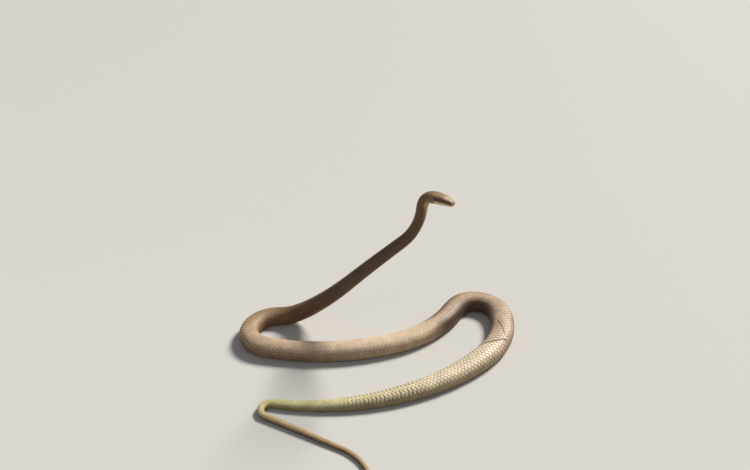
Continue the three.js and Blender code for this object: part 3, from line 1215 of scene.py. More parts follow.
@dataclass
class PlateLayer:
    """Lays copies of a plate over the form as one joined mesh."""

    form: Form
    coat: Coat
    unwrap: Unwrap
    thickness: float = 0.34
    full_length: float = 17.0
    root_sinks: float = 1.15
    nose_clear: float = 1.0
    floor_gap: float = 0.02
    patch: float = 0.003

    def lay(self, name: str, plate: Plate, laying: Laying, dome: float) -> bpy.types.Object:
        """Makes one piece of laid plates, whose hind edges lie on the form and whose roots lie on the skin.

        Args:
            name: The piece's name.
            plate: The plate that is copied.
            laying: The places and sizes.
            dome: How far a plate's middle stands over its edge, as a share of the coat's depth.

        Returns:
            The joined piece.
        """
        x, y, z = plate.corners.T
        hind = x + 0.5
        at = laying.at[:, None] + x * laying.length[:, None]
        share = laying.share[:, None] + y * (laying.width / self.form.half_girth(laying.at))[:, None]
        depth = self.coat.depth(laying.at, laying.share)[:, None]
        sunk = depth * (1.0 - hind) * self.root_sinks
        bulge = dome * depth * (1.0 - plate.rim**4)
        thick = self.thickness * laying.length[:, None] / self.full_length
        creases = self.coat.creases(at, share)
        lift = bulge - sunk - thick * (1.0 - z) - creases.pop("pressed")
        covered = np.clip(at, self.nose_clear, self.form.length - self.form.end_margin)
        points = self.form.lay(covered, share, lift)
        points[..., 2] = np.maximum(points[..., 2], self.floor_gap)
        piece = self._join(name, plate, points)
        corners, copies = len(x), len(laying.at)
        set_values(piece, along=at / self.form.length, back=np.repeat(1.0 - np.abs(laying.share), corners))
        set_values(piece, rim=np.tile(plate.rim, copies), hind=np.tile(hind, copies))
        set_values(piece, chance=np.repeat(laying.chance, corners), beat=self.coat.count(at), **creases)
        strip = self.unwrap.strip_of(laying.at)
        root = self.unwrap.place(laying.at, np.clip(laying.share, -1, 1), strip)
        flat = root[:, None, :] + self.patch * np.stack([x, y], axis=-1)
        set_bake_map(piece, flat.reshape(-1, 2)[corner_vertices(piece.data)])
        smooth_faces(piece)
        return piece

    @staticmethod
    def _join(name: str, plate: Plate, points: np.ndarray) -> bpy.types.Object:
        """Joins all the copies of a plate into one mesh.

        Args:
            name: The piece's name.
            plate: The plate that is copied.
            points: The placed corners, as copy by corner by coordinate.

        Returns:
            The piece.
        """
        copies, count = points.shape[:2]
        starts = np.arange(copies)[:, None] * count
        faces: list[list[int]] = []
        for face in plate.faces:
            faces += (starts + np.array(face)).tolist()
        mesh = bpy.data.meshes.new(name)
        mesh.from_pydata((points.reshape(-1, 3) * MM).tolist(), [], faces)
        mesh.update()
        piece = bpy.data.objects.new(name, mesh)
        bpy.context.scene.collection.objects.link(piece)
        with editing(piece):
            bpy.ops.mesh.normals_make_consistent(inside=False)
        return piece


@dataclass
class Scales:
    """The overlapping scales of the nape, back, sides, throat and tail."""

    layer: PlateLayer
    long: float = 1.52
    wide: float = 1.488
    dome: float = 0.24
    first_at: float = 24.0
    over_scutes: float = 0.35
    off_shields: float = 0.456
    uneven: float = 0.03
    seed: int = 5
    pieces: tuple[tuple[str, float], ...] = (
        ("scales_nape", 0.0),
        ("scales_forebody", 200.0),
        ("scales_turn", 782.0),
        ("scales_climb", 1300.0),
        ("scales_loop", 1800.0),
        ("scales_near_pass", 2300.0),
        ("scales_tail", 2792.0),
    )

    def lattice(self) -> Laying:
        """Works out every scale's place: rows beside the back's middle row, each second one shifted by half.

        Returns:
            The places and sizes.
        """
        coat, form = self.layer.coat, self.layer.form
        first, last = coat.count(self.first_at), coat.count(form.length - coat.tip_bare)
        found = []
        for half_step in range(int(first * 2), int(last * 2)):
            place = float(coat.place_of(half_step / 2.0))
            row = float(coat.row_share(place))
            edge = 1.0 if place < coat.scutes_from else coat.scutes_edge + self.over_scutes * row
            for k in range(half_step % 2, int(edge / row) + 1, 2):
                if place >= coat.begins(k * row) + self.off_shields:
                    found += [(place, side * k * row) for side in ((1, -1) if k else (1,))]
        at, share = np.array(found).T
        length, width = self.long * coat.spacing(at), self.wide * coat.row_share(at) * form.half_girth(at)
        chance = np.random.default_rng(self.seed)
        length *= 1.0 + self.uneven * chance.standard_normal(len(at))
        return Laying(at, share, length, width, chance.random(len(at)))

    def build(self, plate: Plate) -> list[bpy.types.Object]:
        """Lays the scales as one piece for each stretch of the body.

        Args:
            plate: The shape of a scale.

        Returns:
            The pieces, from the nape to the tail.
        """
        laying = self.lattice()
        names, starts = zip(*self.pieces)
        pieces = []
        for name, low, high in zip(names, starts, (*starts[1:], math.inf)):
            part = laying.part((laying.at >= low) & (laying.at < high))
            pieces.append(self.layer.lay(name, plate, part, self.dome))
        return pieces


@dataclass
class Scutes:
    """The broad scutes under the body and the paired ones under the tail."""

    layer: PlateLayer
    long: float = 1.3
    dome: float = 0.1
    single_after_vent: int = 24
    rear_from: float = 1500.0
    vent_longer: float = 1.35
    pair_shift: float = 0.25
    pair_width: float = 0.54
    seed: int = 9

    def build(self, plate: Plate) -> list[bpy.types.Object]:
        """Lays the belly's scutes in two pieces and the tail's in one.

        Args:
            plate: The shape of a scute.

        Returns:
            The three pieces.
        """
        coat, form = self.layer.coat, self.layer.form
        first, last = coat.count(coat.scutes_from), coat.count(form.length - coat.tip_bare)
        at = coat.place_of(np.arange(math.ceil(first), last))
        belly = at < coat.vent
        vent = np.argmax(~belly)
        single = belly | (np.arange(len(at)) < vent + self.single_after_vent)
        length = self.long * coat.spacing(at)
        length[vent] *= self.vent_longer
        width = 2.0 * (1.0 - coat.scutes_edge) * form.half_girth(at)
        chance = np.random.default_rng(self.seed).random(len(at))
        whole = Laying(at, np.ones(len(at)), length, width, chance)
        paired = whole.part(~single)
        tail = (whole.part(single & ~belly), self._half(paired, 1.0), self._half(paired, -1.0))
        parts = {
            "scutes_front": whole.part(at < self.rear_from),
            "scutes_rear": whole.part(belly & (at >= self.rear_from)),
            "scutes_tail": Laying.joined(tail),
        }
        return [self.layer.lay(name, plate, part, self.dome) for name, part in parts.items()]

    def _half(self, paired: Laying, side: float) -> Laying:
        """Moves the tail's paired scutes to one side.

        Args:
            paired: The pairs, laid as single scutes.
            side: 1 for the right half of each pair, -1 for the left.

        Returns:
            The scutes of that side.
        """
        coat = self.layer.coat
        return replace(
            paired,
            at=paired.at + self.pair_shift * side * coat.spacing(paired.at),
            share=np.full(len(paired.at), side * (1.0 + coat.scutes_edge) / 2.0),
            width=paired.width * self.pair_width,
        )


@dataclass
class Eyes:
    """The two eyes, each a globe with its clear scale, standing a little out of the side of the head."""

    relief: HeadRelief
    segments: int = 64
    rings: int = 40
    bulge: float = 0.25
    bulge_fades: Span = (12.0, 40.0)
    forward: float = 0.14
    upward: float = 0.2

    def build(self) -> list[bpy.types.Object]:
        """Models the left and the right eye."""
        names = ("eyeball_left", "eyeball_right")
        return [self._globe(name, centre) for name, centre in zip(names, self.relief.eye_centres())]

    def _globe(self, name: str, centre: np.ndarray) -> bpy.types.Object:
        """Models one globe with its pole turned out of the head.

        Args:
            name: The piece's name, which ends with its side.
            centre: Its centre, in mm.

        Returns:
            The globe.
        """
        deselect_all()
        radius = self.relief.eye_radius
        bpy.ops.mesh.primitive_uv_sphere_add(segments=self.segments, ring_count=self.rings, radius=radius)
        piece = bpy.context.object
        piece.name = name
        along, side, back = (v[0] for v in self.relief.form.directions(np.array([0.0])))
        sign = 1.0 if name.endswith("right") else -1.0
        out = unit(side * sign - along * self.forward + back * self.upward)
        up = unit(np.cross(np.cross(out, back), out))
        right = np.cross(up, out)
        points = np.array([v.co[:] for v in piece.data.vertices])
        tilt = np.degrees(np.arccos(np.clip(points[:, 2] / radius, -1, 1)))
        swell = 1.0 + self.bulge / radius * fade_out(tilt, *self.bulge_fades)
        turned = points[:, :1] * right + points[:, 1:2] * up + points[:, 2:] * out
        placed = centre + turned * swell[:, None]
        piece.data.vertices.foreach_set("co", (placed * MM).ravel())
        turn = np.arctan2(points[:, 1], points[:, 0]) / (2 * math.pi) + 0.5
        set_values(piece, tilt=tilt / 90.0, turn=turn)
        smooth_faces(piece)
        return piece


def srgb(red: float, green: float, blue: float) -> tuple[float, ...]:
    """Turns a colour in screen values from 0 to 255 into the linear one that shaders take."""
    values = (value / 255.0 for value in (red, green, blue))
    return (*(v / 12.92 if v <= 0.04045 else ((v + 0.055) / 1.055) ** 2.4 for v in values), 1.0)


@dataclass(frozen=True)
class Tone:
    """The snake's colours at a distance from the nose: on the back, on the flanks and under the belly."""

    at: float
    back: Screen
    flank: Screen
    belly: Screen


TONES = (
    Tone(0, (172, 144, 108), (136, 106, 72), (214, 192, 150)),
    Tone(60, (150, 122, 86), (122, 92, 58), (206, 182, 136)),
    # From 100 to 600 the forebody is partly its own darker brown and partly painted shade, darkened as if the
    # lifted neck stood out of the light.
    Tone(100, (112, 82, 50), (98, 68, 38), (176, 144, 96)),
    Tone(200, (92, 64, 34), (86, 58, 30), (146, 114, 70)),
    Tone(600, (98, 70, 38), (90, 62, 32), (152, 120, 74)),
    Tone(760, (128, 100, 70), (112, 82, 54), (190, 164, 124)),
    Tone(930, (190, 162, 132), (136, 100, 70), (220, 198, 164)),
    Tone(1150, (204, 180, 154), (150, 118, 90), (226, 206, 174)),
    Tone(1400, (226, 202, 174), (190, 162, 130), (230, 212, 182)),
    Tone(1520, (218, 194, 164), (180, 150, 116), (230, 210, 180)),
    # From 1590 to 1900 the flank is partly its own brown and partly painted shade: the loop's side that faces
    # away from the light is darkened.
    Tone(1590, (202, 176, 150), (84, 56, 40), (228, 208, 178)),
    Tone(1700, (190, 164, 138), (86, 58, 42), (224, 202, 172)),
    Tone(1840, (192, 166, 142), (104, 72, 52), (224, 202, 172)),
    Tone(1900, (198, 172, 148), (134, 102, 80), (226, 204, 174)),
    Tone(2040, (208, 182, 158), (158, 126, 102), (228, 208, 180)),
    Tone(2110, (232, 214, 186), (174, 150, 118), (234, 218, 188)),
    Tone(2330, (230, 214, 182), (156, 136, 100), (232, 216, 180)),
    Tone(2600, (218, 208, 162), (140, 126, 84), (226, 216, 172)),
    Tone(2720, (212, 210, 150), (150, 144, 88), (224, 214, 164)),
    Tone(2800, (214, 204, 150), (146, 130, 82), (224, 212, 164)),
    # From 2870 to the tip the tail is partly its own browner colour and partly painted shade, most on its
    # flank, as its side out of the light.
    Tone(2870, (200, 174, 130), (112, 84, 58), (210, 190, 148)),
    Tone(3150, (186, 156, 116), (94, 68, 46), (194, 172, 132)),
    Tone(3512, (156, 128, 94), (90, 66, 46), (176, 154, 118)),
)


class Wiring:
    """Adds nodes to a tree and links them."""

    def __init__(self, tree: bpy.types.NodeTree) -> None:
        """Keeps the tree."""
        self.tree = tree

    def add(self, kind: str, **settings: object) -> bpy.types.Node:
        """Adds a node and sets its named settings.

        Args:
            kind: The node's type.
            settings: Its settings, by their names.

        Returns:
            The node.
        """
        node = self.tree.nodes.new(kind)
        for key, value in settings.items():
            setattr(node, key, value)
        return node

    def feed(self, socket: Socket, value: object) -> None:
        """Gives an input a value, or links an output to it.

        Args:
            socket: The input.
            value: A number, a colour or an output.
        """
        if isinstance(value, Socket):
            self.tree.links.new(value, socket)
        else:
            socket.default_value = value

    def number(self, name: str) -> Socket:
        """Reads a vertex number of the piece by its name."""
        return self.add("ShaderNodeAttribute", attribute_name=name).outputs["Fac"]

    def maths(self, operation: str, *inputs: Socket | float) -> Socket:
        """Works out a number from others.

        Args:
            operation: What is worked out.
            inputs: Outputs or plain numbers.

        Returns:
            The result.
        """
        node = self.add("ShaderNodeMath", operation=operation)
        for socket, value in zip(node.inputs, inputs):
            self.feed(socket, value)
        return node.outputs[0]

    def spread(self, value: Socket, start: Span, end: Span = (0.0, 1.0)) -> Socket:
        """Maps a number smoothly from one span to another.

        Args:
            value: The number.
            start: The span that it is read in.
            end: What it becomes at the two ends of that span.

        Returns:
            The mapped number.
        """
        node = self.add("ShaderNodeMapRange", interpolation_type="SMOOTHSTEP")
        for key, given in zip(("Value", "From Min", "From Max", "To Min", "To Max"), (value, *start, *end)):
            self.feed(node.inputs[key], given)
        return node.outputs["Result"]

    def fade(self, value: Socket, start: Span) -> Socket:
        """Falls smoothly from 1 to 0 over a span."""
        return self.spread(value, start, (1.0, 0.0))

    def mix(self, factor: Socket | float, first: object, second: object, blend: str = "MIX") -> Socket:
        """Mixes two colours.

        Args:
            factor: How much of the second colour shows.
            first: An output or a colour.
            second: The same.
            blend: How they are mixed.

        Returns:
            The mixed colour.
        """
        node = self.add("ShaderNodeMix", data_type="RGBA", blend_type=blend)
        for socket, value in ((node.inputs[0], factor), (node.inputs[6], first), (node.inputs[7], second)):
            self.feed(socket, value)
        return node.outputs[2]

    def ramp(self, value: Socket, stops: Sequence[tuple[float, tuple]]) -> Socket:
        """Reads a colour from stops between 0 and 1.

        Args:
            value: Where it is read.
            stops: Places and colours.

        Returns:
            The colour.
        """
        node = self.add("ShaderNodeValToRGB")
        ramp = node.color_ramp
        while len(ramp.elements) < len(stops):
            ramp.elements.new(0.5)
        for element, (place, colour) in zip(ramp.elements, stops):
            element.position = place
            element.color = colour
        self.feed(node.inputs["Fac"], value)
        return node.outputs["Color"]

    def noise(self, scale: float, detail: float, place: Socket | None = None) -> Socket:
        """Adds a noise, in the piece's own coordinates where no others are given.

        Args:
            scale: How fine it is.
            detail: How many finer noises are added to it.
            place: The coordinates.

        Returns:
            The noise.
        """
        node = self.add("ShaderNodeTexNoise")
        if place is None:
            place = self.add("ShaderNodeTexCoord").outputs["Object"]
        for key, value in (("Scale", scale), ("Detail", detail), ("Vector", place)):
            self.feed(node.inputs[key], value)
        return node.outputs["Fac"]

    def group(self, tree: bpy.types.NodeTree, **inputs: object) -> bpy.types.Node:
        """Places a group and fills its named inputs.

        Args:
            tree: The group.
            inputs: Values or outputs, by the names of the inputs.

        Returns:
            The node that stands for the group.
        """
        node = self.add("ShaderNodeGroup")
        node.node_tree = tree
        for name, value in inputs.items():
            self.feed(node.inputs[name], value)
        return node


def new_group(name: str, inputs: Sequence[str], outputs: dict[str, str]) -> bpy.types.NodeTree:
    """Makes an empty shader group.

    Args:
        name: The group's name.
        inputs: Names of its number inputs.
        outputs: The socket types of its outputs, by their names.

    Returns:
        The group's tree.
    """
    tree = bpy.data.node_groups.new(name, "ShaderNodeTree")
    for key in inputs:
        tree.interface.new_socket(name=key, in_out="INPUT", socket_type="NodeSocketFloat")
    for key, kind in outputs.items():
        tree.interface.new_socket(name=key, in_out="OUTPUT", socket_type=kind)
    return tree


def new_material(name: str) -> tuple[bpy.types.Material, Wiring, bpy.types.Node]:
    """Starts a material.

    Args:
        name: The material's name.

    Returns:
        The material, the wiring of its nodes and its shader.
    """
    material = bpy.data.materials.new(name)
    material.use_nodes = True
    return material, Wiring(material.node_tree), material.node_tree.nodes["Principled BSDF"]


@dataclass(frozen=True)
class Markings:
    """The snake's colours and marks by their place on it, the same for skin, scales and scutes; some of them
    are painted shade.
    """

    length: float
    belly_edge: Span = (0.16, 0.32)
    back_edge: Span = (0.5, 0.8)
    waver: float = 0.26
    waver_scale: float = 16.0
    pale_throat: Band = Band(20.0, 45.0, 80.0, 150.0)
    throat_rise: float = 0.14
    # Partly a browner flank of its own, partly painted shade on the loop's side out of the light; on this
    # stretch the darker flank also reaches higher up the side.
    brown_and_shaded_flanks: Band = Band(1500.0, 1590.0, 1800.0, 1900.0)
    shaded_flank_rise: float = 0.19
    chance_spread: float = 0.14
    patch_scale: float = 34.0
    patch_span: Span = (0.3, 0.7)
    patch_tones: Span = (0.88, 1.06)
    # Painted shade: thin stripes where the gaps between the columns of scales would lie in shadow under
    # grazing light.
    shade_bars: Band = Band(2340.0, 2400.0, 2560.0, 2610.0)
    bar_stroke: Span = (0.42, 0.86)
    bar_foot: Span = (0.52, 0.66)
    bar_top: Span = (0.86, 0.97)
    bar_gaps: Span = (0.35, 0.6)
    bar_gap_scale: float = 60.0
    bar_least: float = 0.45
    bar_strength: float = 0.85
    shade_bar_colour: Screen = (62, 46, 24)

    def build(self) -> bpy.types.NodeTree:
        """Builds the shader group that gives the colour of a place.

        Returns:
            The group.
        """
        tree = new_group("cobra_tones", ("Along", "Back", "Chance", "Beat"), {"Color": "NodeSocketColor"})
        wire = Wiring(tree)
        given = wire.add("NodeGroupInput").outputs
        back, flank, belly = (
            wire.ramp(given["Along"], [(t.at / self.length, srgb(*getattr(t, part))) for t in TONES])
            for part in ("back", "flank", "belly")
        )
        waver = wire.noise(self.waver_scale, 4.0)
        waver = wire.maths("MULTIPLY_ADD", waver, self.waver, -self.waver / 2.0)
        height = wire.maths("ADD", given["Back"], waver)
        throat = wire.maths("MULTIPLY", self._on(wire, given, self.pale_throat), self.throat_rise)
        sides = wire.mix(wire.spread(wire.maths("SUBTRACT", height, throat), self.belly_edge), belly, flank)
        # Painted shade, partly real brown: on the loop the darker flank reaches higher up the side.
        shade_raised = wire.maths("MULTIPLY", self._on(wire, given, self.brown_and_shaded_flanks), self.shaded_flank_rise)
        colour = wire.mix(wire.spread(wire.maths("SUBTRACT", height, shade_raised), self.back_edge), sides, back)
        # The painted stripes of shade go over the tones.
        shade_barred = wire.mix(self._shade_bars(wire, given), colour, srgb(*self.shade_bar_colour))
        even = 1.0 - self.chance_spread / 2.0
        bright = wire.maths("MULTIPLY_ADD", given["Chance"], self.chance_spread, even)
        patch = wire.spread(wire.noise(self.patch_scale, 2.0), self.patch_span, self.patch_tones)
        shade = wire.add("ShaderNodeCombineColor")
        for channel in shade.inputs:
            wire.feed(channel, wire.maths("MULTIPLY", bright, patch))
        result = wire.mix(1.0, shade_barred, shade.outputs[0], "MULTIPLY")
        wire.feed(wire.add("NodeGroupOutput").inputs["Color"], result)
        return tree

    def _on(self, wire: Wiring, given: bpy.types.NodeOutputs, band: Band) -> Socket:
        """Finds whether a place lies on one stretch of the body.

        Args:
            wire: The group's wiring.
            given: The group's inputs.
            band: The stretch, in mm from the nose.

        Returns:
            1 on the stretch and 0 off it, with soft ends.
        """
        start, full, fading, end = (at / self.length for at in (band.start, band.full, band.fading, band.end))
        rising = wire.spread(given["Along"], (start, full))
        return wire.maths("MULTIPLY", rising, wire.fade(given["Along"], (fading, end)))

    def _shade_bars(self, wire: Wiring, given: bpy.types.NodeOutputs) -> Socket:
        """Paints thin stripes of shade down the flanks before the vent, one to each scale's length: the
        shadow in the gaps between the columns of scales where the light grazes the side.

        Args:
            wire: The group's wiring.
            given: The group's inputs.

        Returns:
            How strong a bar shows at a place.
        """
        wave = wire.maths("COSINE", wire.maths("MULTIPLY", given["Beat"], 2.0 * math.pi))
        foot, top = wire.spread(given["Back"], self.bar_foot), wire.fade(given["Back"], self.bar_top)
        uneven = wire.spread(wire.noise(self.bar_gap_scale, 2.0), self.bar_gaps, (self.bar_least, 1.0))
        strength = self._on(wire, given, self.shade_bars)
        for share in (foot, top, uneven, wire.spread(wave, self.bar_stroke), self.bar_strength):
            strength = wire.maths("MULTIPLY", strength, share)
        return strength


@dataclass(frozen=True)
class HornGrain:
    """The fine grain of horn, as height and as a change of roughness."""

    fine_scale: float = 2600.0
    fine_share: float = 0.3
    soft_scale: float = 420.0
    rough_spread: float = 0.2

    def build(self) -> bpy.types.NodeTree:
        """Builds the shader group of the grain.

        Returns:
            The group.
        """
        tree = new_group("horn_grain", ("Rough",), {"Height": "NodeSocketFloat", "Rough": "NodeSocketFloat"})
        wire = Wiring(tree)
        given = wire.add("NodeGroupInput").outputs
        shown = wire.add("NodeGroupOutput").inputs
        soft = wire.noise(self.soft_scale, 3.0)
        fine = wire.maths("MULTIPLY", wire.noise(self.fine_scale, 3.0), self.fine_share)
        wire.feed(shown["Height"], wire.maths("ADD", fine, soft))
        change = wire.maths("MULTIPLY_ADD", soft, self.rough_spread, -self.rough_spread / 2.0)
        wire.feed(shown["Rough"], wire.maths("ADD", given["Rough"], change))
        return tree


@dataclass(frozen=True)
class SharedGroups:
    """The shader groups that the finishes of skin, scales and scutes share."""

    tones: bpy.types.NodeTree
    grain: bpy.types.NodeTree


@dataclass(frozen=True)
class HornFinish:
    """A finish of the snake's outside: the shared tones and grain, with a shade of its own."""

    name: str
    shade: Screen
    rough: float
    bump: float
    coat: float
    coat_rough: float
    bump_distance: float = 0.0004
    # Painted shade: the colour laid along a crease as if it lay in shadow.
    fold_shade_line: Span = (0.4, 1.15)
    fold_shade_colour: Screen = (40, 24, 15)

    def build(self, shared: SharedGroups) -> bpy.types.Material:
        """Makes the material.

        Args:
            shared: The shared groups.

        Returns:
            The material.
        """
        material, wire, shader = new_material(self.name)
        places = {key: wire.number(key.lower()) for key in ("Along", "Back", "Beat")}
        tone = wire.group(shared.tones, Chance=self.chance(wire), **places).outputs["Color"]
        grain = wire.group(shared.grain, Rough=self.rough).outputs
        ridge = wire.add("ShaderNodeBump")
        ridge.inputs["Strength"].default_value = self.bump
        ridge.inputs["Distance"].default_value = self.bump_distance
        wire.feed(ridge.inputs["Height"], grain["Height"])
        wire.feed(shader.inputs["Base Color"], self.colour(wire, tone))
        wire.feed(shader.inputs["Roughness"], grain["Rough"])
        wire.feed(shader.inputs["Normal"], ridge.outputs["Normal"])
        shader.inputs["Coat Weight"].default_value = self.coat
        shader.inputs["Coat Roughness"].default_value = self.coat_rough
        return material

    def chance(self, wire: Wiring) -> Socket | float:
        """Gives what makes one plate lighter or darker than the next."""
        return wire.number("chance")

    def colour(self, wire: Wiring, tone: Socket) -> Socket:
        """Shades the tone.

        Args:
            wire: The material's wiring.
            tone: The colour of the place.

        Returns:
            The colour that shows.
        """
        edge = wire.spread(wire.number("rim"), (0.5, 1.0), (0.0, 0.8))
        return wire.mix(edge, tone, self.darker(wire, tone))

    def darker(self, wire: Wiring, tone: Socket) -> Socket:
        """Shades a colour."""
        return wire.mix(1.0, tone, srgb(*self.shade), "MULTIPLY")

    def painted_fold_shade(self, wire: Wiring, colour: Socket) -> Socket:
        """Paints shade along the folds of the skin, where the crease would lie in shadow.

        Args:
            wire: The material's wiring.
            colour: The colour.

        Returns:
            The colour with painted shade in the folds.
        """
        line = wire.fade(wire.maths("ABSOLUTE", wire.number("fold")), self.fold_shade_line)
        return wire.mix(wire.maths("MULTIPLY", line, wire.number("folded")), colour, srgb(*self.fold_shade_colour))


@dataclass(frozen=True)
class SkinFinish(HornFinish):
    """The skin: the marked shields of the head, some marks being painted shade, and the darker skin between
    the scales.
    """

    name: str = "cobra_skin"
    shade: Screen = (156, 138, 122)
    rough: float = 0.46
    bump: float = 0.35
    coat: float = 0.12
    coat_rough: float = 0.32

    def chance(self, wire: Wiring) -> Socket | float:
        """Keeps the one skin even."""
        return 0.5

    def colour(self, wire: Wiring, tone: Socket) -> Socket:
        """Marks the head, paints shade along the folds, and darkens the skin under the scales.

        Args:
            wire: The material's wiring.
            tone: The colour of the place.

        Returns:
            The colour that shows.
        """
        tone = self.painted_fold_shade(wire, tone)
        marked = tone
        for mark in HEAD_MARKS:
            strength = wire.maths("MULTIPLY", wire.number(mark.name), mark.strength)
            marked = wire.mix(strength, marked, srgb(*mark.colour))
        return wire.mix(wire.number("bare"), self.darker(wire, tone), marked)


@dataclass(frozen=True)
class ScaleFinish(HornFinish):
    """The scales of the back: darker along their edges and roots."""

    name: str = "cobra_scale"
    shade: Screen = (150, 132, 112)
    rough: float = 0.54
    bump: float = 0.3
    coat: float = 0.06
    coat_rough: float = 0.4

    def colour(self, wire: Wiring, tone: Socket) -> Socket:
        """Darkens the edges and the roots, and paints shade along the folds.

        Args:
            wire: The material's wiring.
            tone: The colour of the place.

        Returns:
            The colour that shows.
        """
        edge = wire.spread(wire.number("rim"), (0.8, 1.0), (0.0, 0.6))
        root = wire.spread(wire.number("hind"), (0.1, 0.45), (0.55, 0.0))
        edged = wire.mix(wire.maths("MAXIMUM", edge, root), tone, self.darker(wire, tone))
        return self.painted_fold_shade(wire, edged)


@dataclass(frozen=True)
class ScuteFinish(HornFinish):
    """The belly's scutes: pale, with a darker hind edge."""

    name: str = "cobra_scute"
    shade: Screen = (150, 132, 112)
    rough: float = 0.4
    bump: float = 0.2
    coat: float = 0.3
    coat_rough: float = 0.22


@dataclass(frozen=True)
class EyeFinish:
    """The eye: a round pupil in a bronze iris under a clear glossy scale."""

    rays: float = 14.0
    ray_rings: float = 2.0
    ray_scale: float = 5.0
    iris: tuple[tuple[float, Screen], ...] = (
        (0.3, (50, 29, 13)),
        (0.55, (92, 59, 27)),
        (0.75, (138, 98, 48)),
    )
    rim: Span = (0.4, 0.54)
    rim_colour: Screen = (18, 11, 8)
    ring: Span = (0.275, 0.305)
    ring_colour: Screen = (152, 110, 56)
    pupil: Span = (0.25, 0.265)
    pupil_colour: Screen = (6, 5, 5)
    rough: float = 0.25
    coat: float = 1.0
    coat_rough: float = 0.02

    def build(self) -> bpy.types.Material:
        """Makes the material.

        Returns:
            The material.
        """
        material, wire, shader = new_material("cobra_eye")
        tilt = wire.number("tilt")
        place = wire.add("ShaderNodeCombineXYZ")
        wire.feed(place.inputs[0], wire.maths("MULTIPLY", wire.number("turn"), self.rays))
        wire.feed(place.inputs[1], wire.maths("MULTIPLY", tilt, self.ray_rings))
        grain = wire.noise(self.ray_scale, 2.0, place.outputs[0])
        iris = wire.ramp(grain, [(stop, srgb(*colour)) for stop, colour in self.iris])
        rim = wire.mix(wire.spread(tilt, self.rim), iris, srgb(*self.rim_colour))
        ring = wire.mix(wire.fade(tilt, self.ring), rim, srgb(*self.ring_colour))
        pupil = wire.mix(wire.fade(tilt, self.pupil), ring, srgb(*self.pupil_colour))
        wire.feed(shader.inputs["Base Color"], pupil)
        shader.inputs["Roughness"].default_value = self.rough
        shader.inputs["Coat Weight"].default_value = self.coat
        shader.inputs["Coat Roughness"].default_value = self.coat_rough
        return material


@dataclass(frozen=True)
class FloorFinish:
    """The studio's plain pale floor."""

    colour: tuple[float, float, float, float] = (0.62, 0.61, 0.59, 1.0)
    rough: float = 0.9

    def build(self) -> bpy.types.Material:
        """Makes the material.

        Returns:
            The material.
        """
        material, _, shader = new_material("studio_floor")
        shader.inputs["Base Color"].default_value = self.colour
        shader.inputs["Roughness"].default_value = self.rough
        return material


def hang(name: str, data: bpy.types.ID, place: Sequence[float], turn: Sequence[float]) -> bpy.types.Object:
    """Places a light or a camera.

    Args:
        name: Its name.
        data: Its settings.
        place: Where it is.
        turn: How it is turned round X, Y and Z, in radians.

    Returns:
        The object.
    """
    holder = bpy.data.objects.new(name, data)
    holder.location = place
    holder.rotation_euler = turn
    bpy.context.scene.collection.objects.link(holder)
    return holder


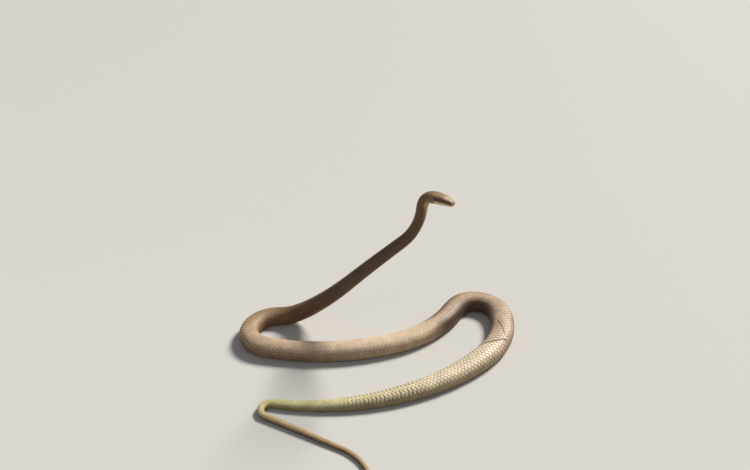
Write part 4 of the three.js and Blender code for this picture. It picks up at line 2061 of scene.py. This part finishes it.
@dataclass
class Studio:
    """The pale floor, the soft lights and the camera that looks down at the snake from standing height."""

    camera_at: tuple[float, float, float] = (-0.0109, -1.1903, 1.2)
    pitch_down: float = 28.8
    focal_px: float = 600.0
    photo_width: int = 750
    sensor: float = 36.0
    floor_size: float = 40.0
    key_at: tuple[float, float, float] = (1.0, 2.0, 3.0)
    key_power: float = 4.3
    key_softness: float = 16.0
    key_height: float = 42.0
    key_bearing: float = 42.0
    key_colour: tuple[float, float, float] = (1.0, 0.955, 0.88)
    fill_at: tuple[float, float, float] = (-1.6, -2.2, 2.4)
    fill_to: tuple[float, float, float] = (0.0, 0.2, 0.1)
    fill_size: float = 1.5
    fill_power: float = 7.5
    fill_colour: tuple[float, float, float] = (0.95, 0.97, 1.0)
    air: float = 0.2
    air_colour: tuple[float, float, float, float] = (0.92, 0.95, 1.0, 1.0)

    def build(self) -> None:
        """Sets the floor, the lights and the camera."""
        deselect_all()
        bpy.ops.mesh.primitive_plane_add(size=self.floor_size, location=(0, 0, 0))
        floor = bpy.context.object
        floor.name = "studio_floor"
        floor.data.materials.append(FloorFinish().build())
        self._key()
        self._fill()
        world = bpy.data.worlds.new("studio_air")
        world.use_nodes = True
        world.node_tree.nodes["Background"].inputs["Color"].default_value = self.air_colour
        world.node_tree.nodes["Background"].inputs["Strength"].default_value = self.air
        bpy.context.scene.world = world
        bpy.context.scene.view_settings.view_transform = "Standard"
        self._camera()

    def _key(self) -> None:
        """Sets the broad key light, high behind the snake and to its right."""
        light = bpy.data.lights.new("key_light", "SUN")
        light.energy = self.key_power
        light.angle = math.radians(self.key_softness)
        light.color = self.key_colour
        turn = (math.radians(90.0 - self.key_height), 0.0, math.radians(self.key_bearing + 90.0))
        hang("key_light", light, self.key_at, turn)

    def _fill(self) -> None:
        """Hangs the large weak fill light over the camera's left shoulder."""
        light = bpy.data.lights.new("fill_light", "AREA")
        light.shape = "DISK"
        light.size = self.fill_size
        light.energy = self.fill_power
        light.color = self.fill_colour
        x, y, z = (end - start for start, end in zip(self.fill_at, self.fill_to))
        hang("fill_light", light, self.fill_at, (math.atan2(math.hypot(x, y), -z), 0.0, math.atan2(-x, y)))

    def _camera(self) -> None:
        """Places the camera with the photograph's framing."""
        lens = bpy.data.cameras.new("photo_camera")
        lens.sensor_width = self.sensor
        lens.lens = self.focal_px / self.photo_width * self.sensor
        lens.dof.use_dof = False
        turn = (math.radians(90.0 - self.pitch_down), 0.0, 0.0)
        bpy.context.scene.camera = hang("photo_camera", lens, self.camera_at, turn)


def wear(piece: bpy.types.Object, material: bpy.types.Material) -> None:
    """Gives a piece its material, its slot and its place on the one body, and reports it.

    Args:
        piece: The piece.
        material: Its material.
    """
    piece.data.materials.clear()
    piece.data.materials.append(material)
    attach(piece, "root")
    LOG.info("%s: %d faces", piece.name, len(piece.data.polygons))


def main() -> None:
    """Builds the studio, the skin, the scales, the scutes and the eyes, and reports each piece."""
    logging.basicConfig(level=logging.INFO, format="%(message)s")
    form = Form()
    coat = Coat(form)
    unwrap = Unwrap(form.length)
    relief = HeadRelief(form)
    shared = SharedGroups(Markings(form.length).build(), HornGrain().build())
    Studio().build()

    skin = Skin(form, coat, relief, unwrap).build()
    wear(skin, SkinFinish().build(shared))
    flesh = sorted(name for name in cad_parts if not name.startswith("eye"))
    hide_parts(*flesh)

    layer = PlateLayer(form, coat, unwrap)
    scale_finish, scute_finish = ScaleFinish().build(shared), ScuteFinish().build(shared)
    for piece in Scales(layer).build(ScalePlate().build()):
        wear(piece, scale_finish)
    for piece in Scutes(layer).build(ScutePlate().build()):
        wear(piece, scute_finish)
    eye_finish = EyeFinish().build()
    for eye, node in zip(Eyes(relief).build(), ("eye_left", "eye_right")):
        wear(eye, eye_finish)
        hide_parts(node)
    deselect_all()


if __name__ == "__main__":
    main()
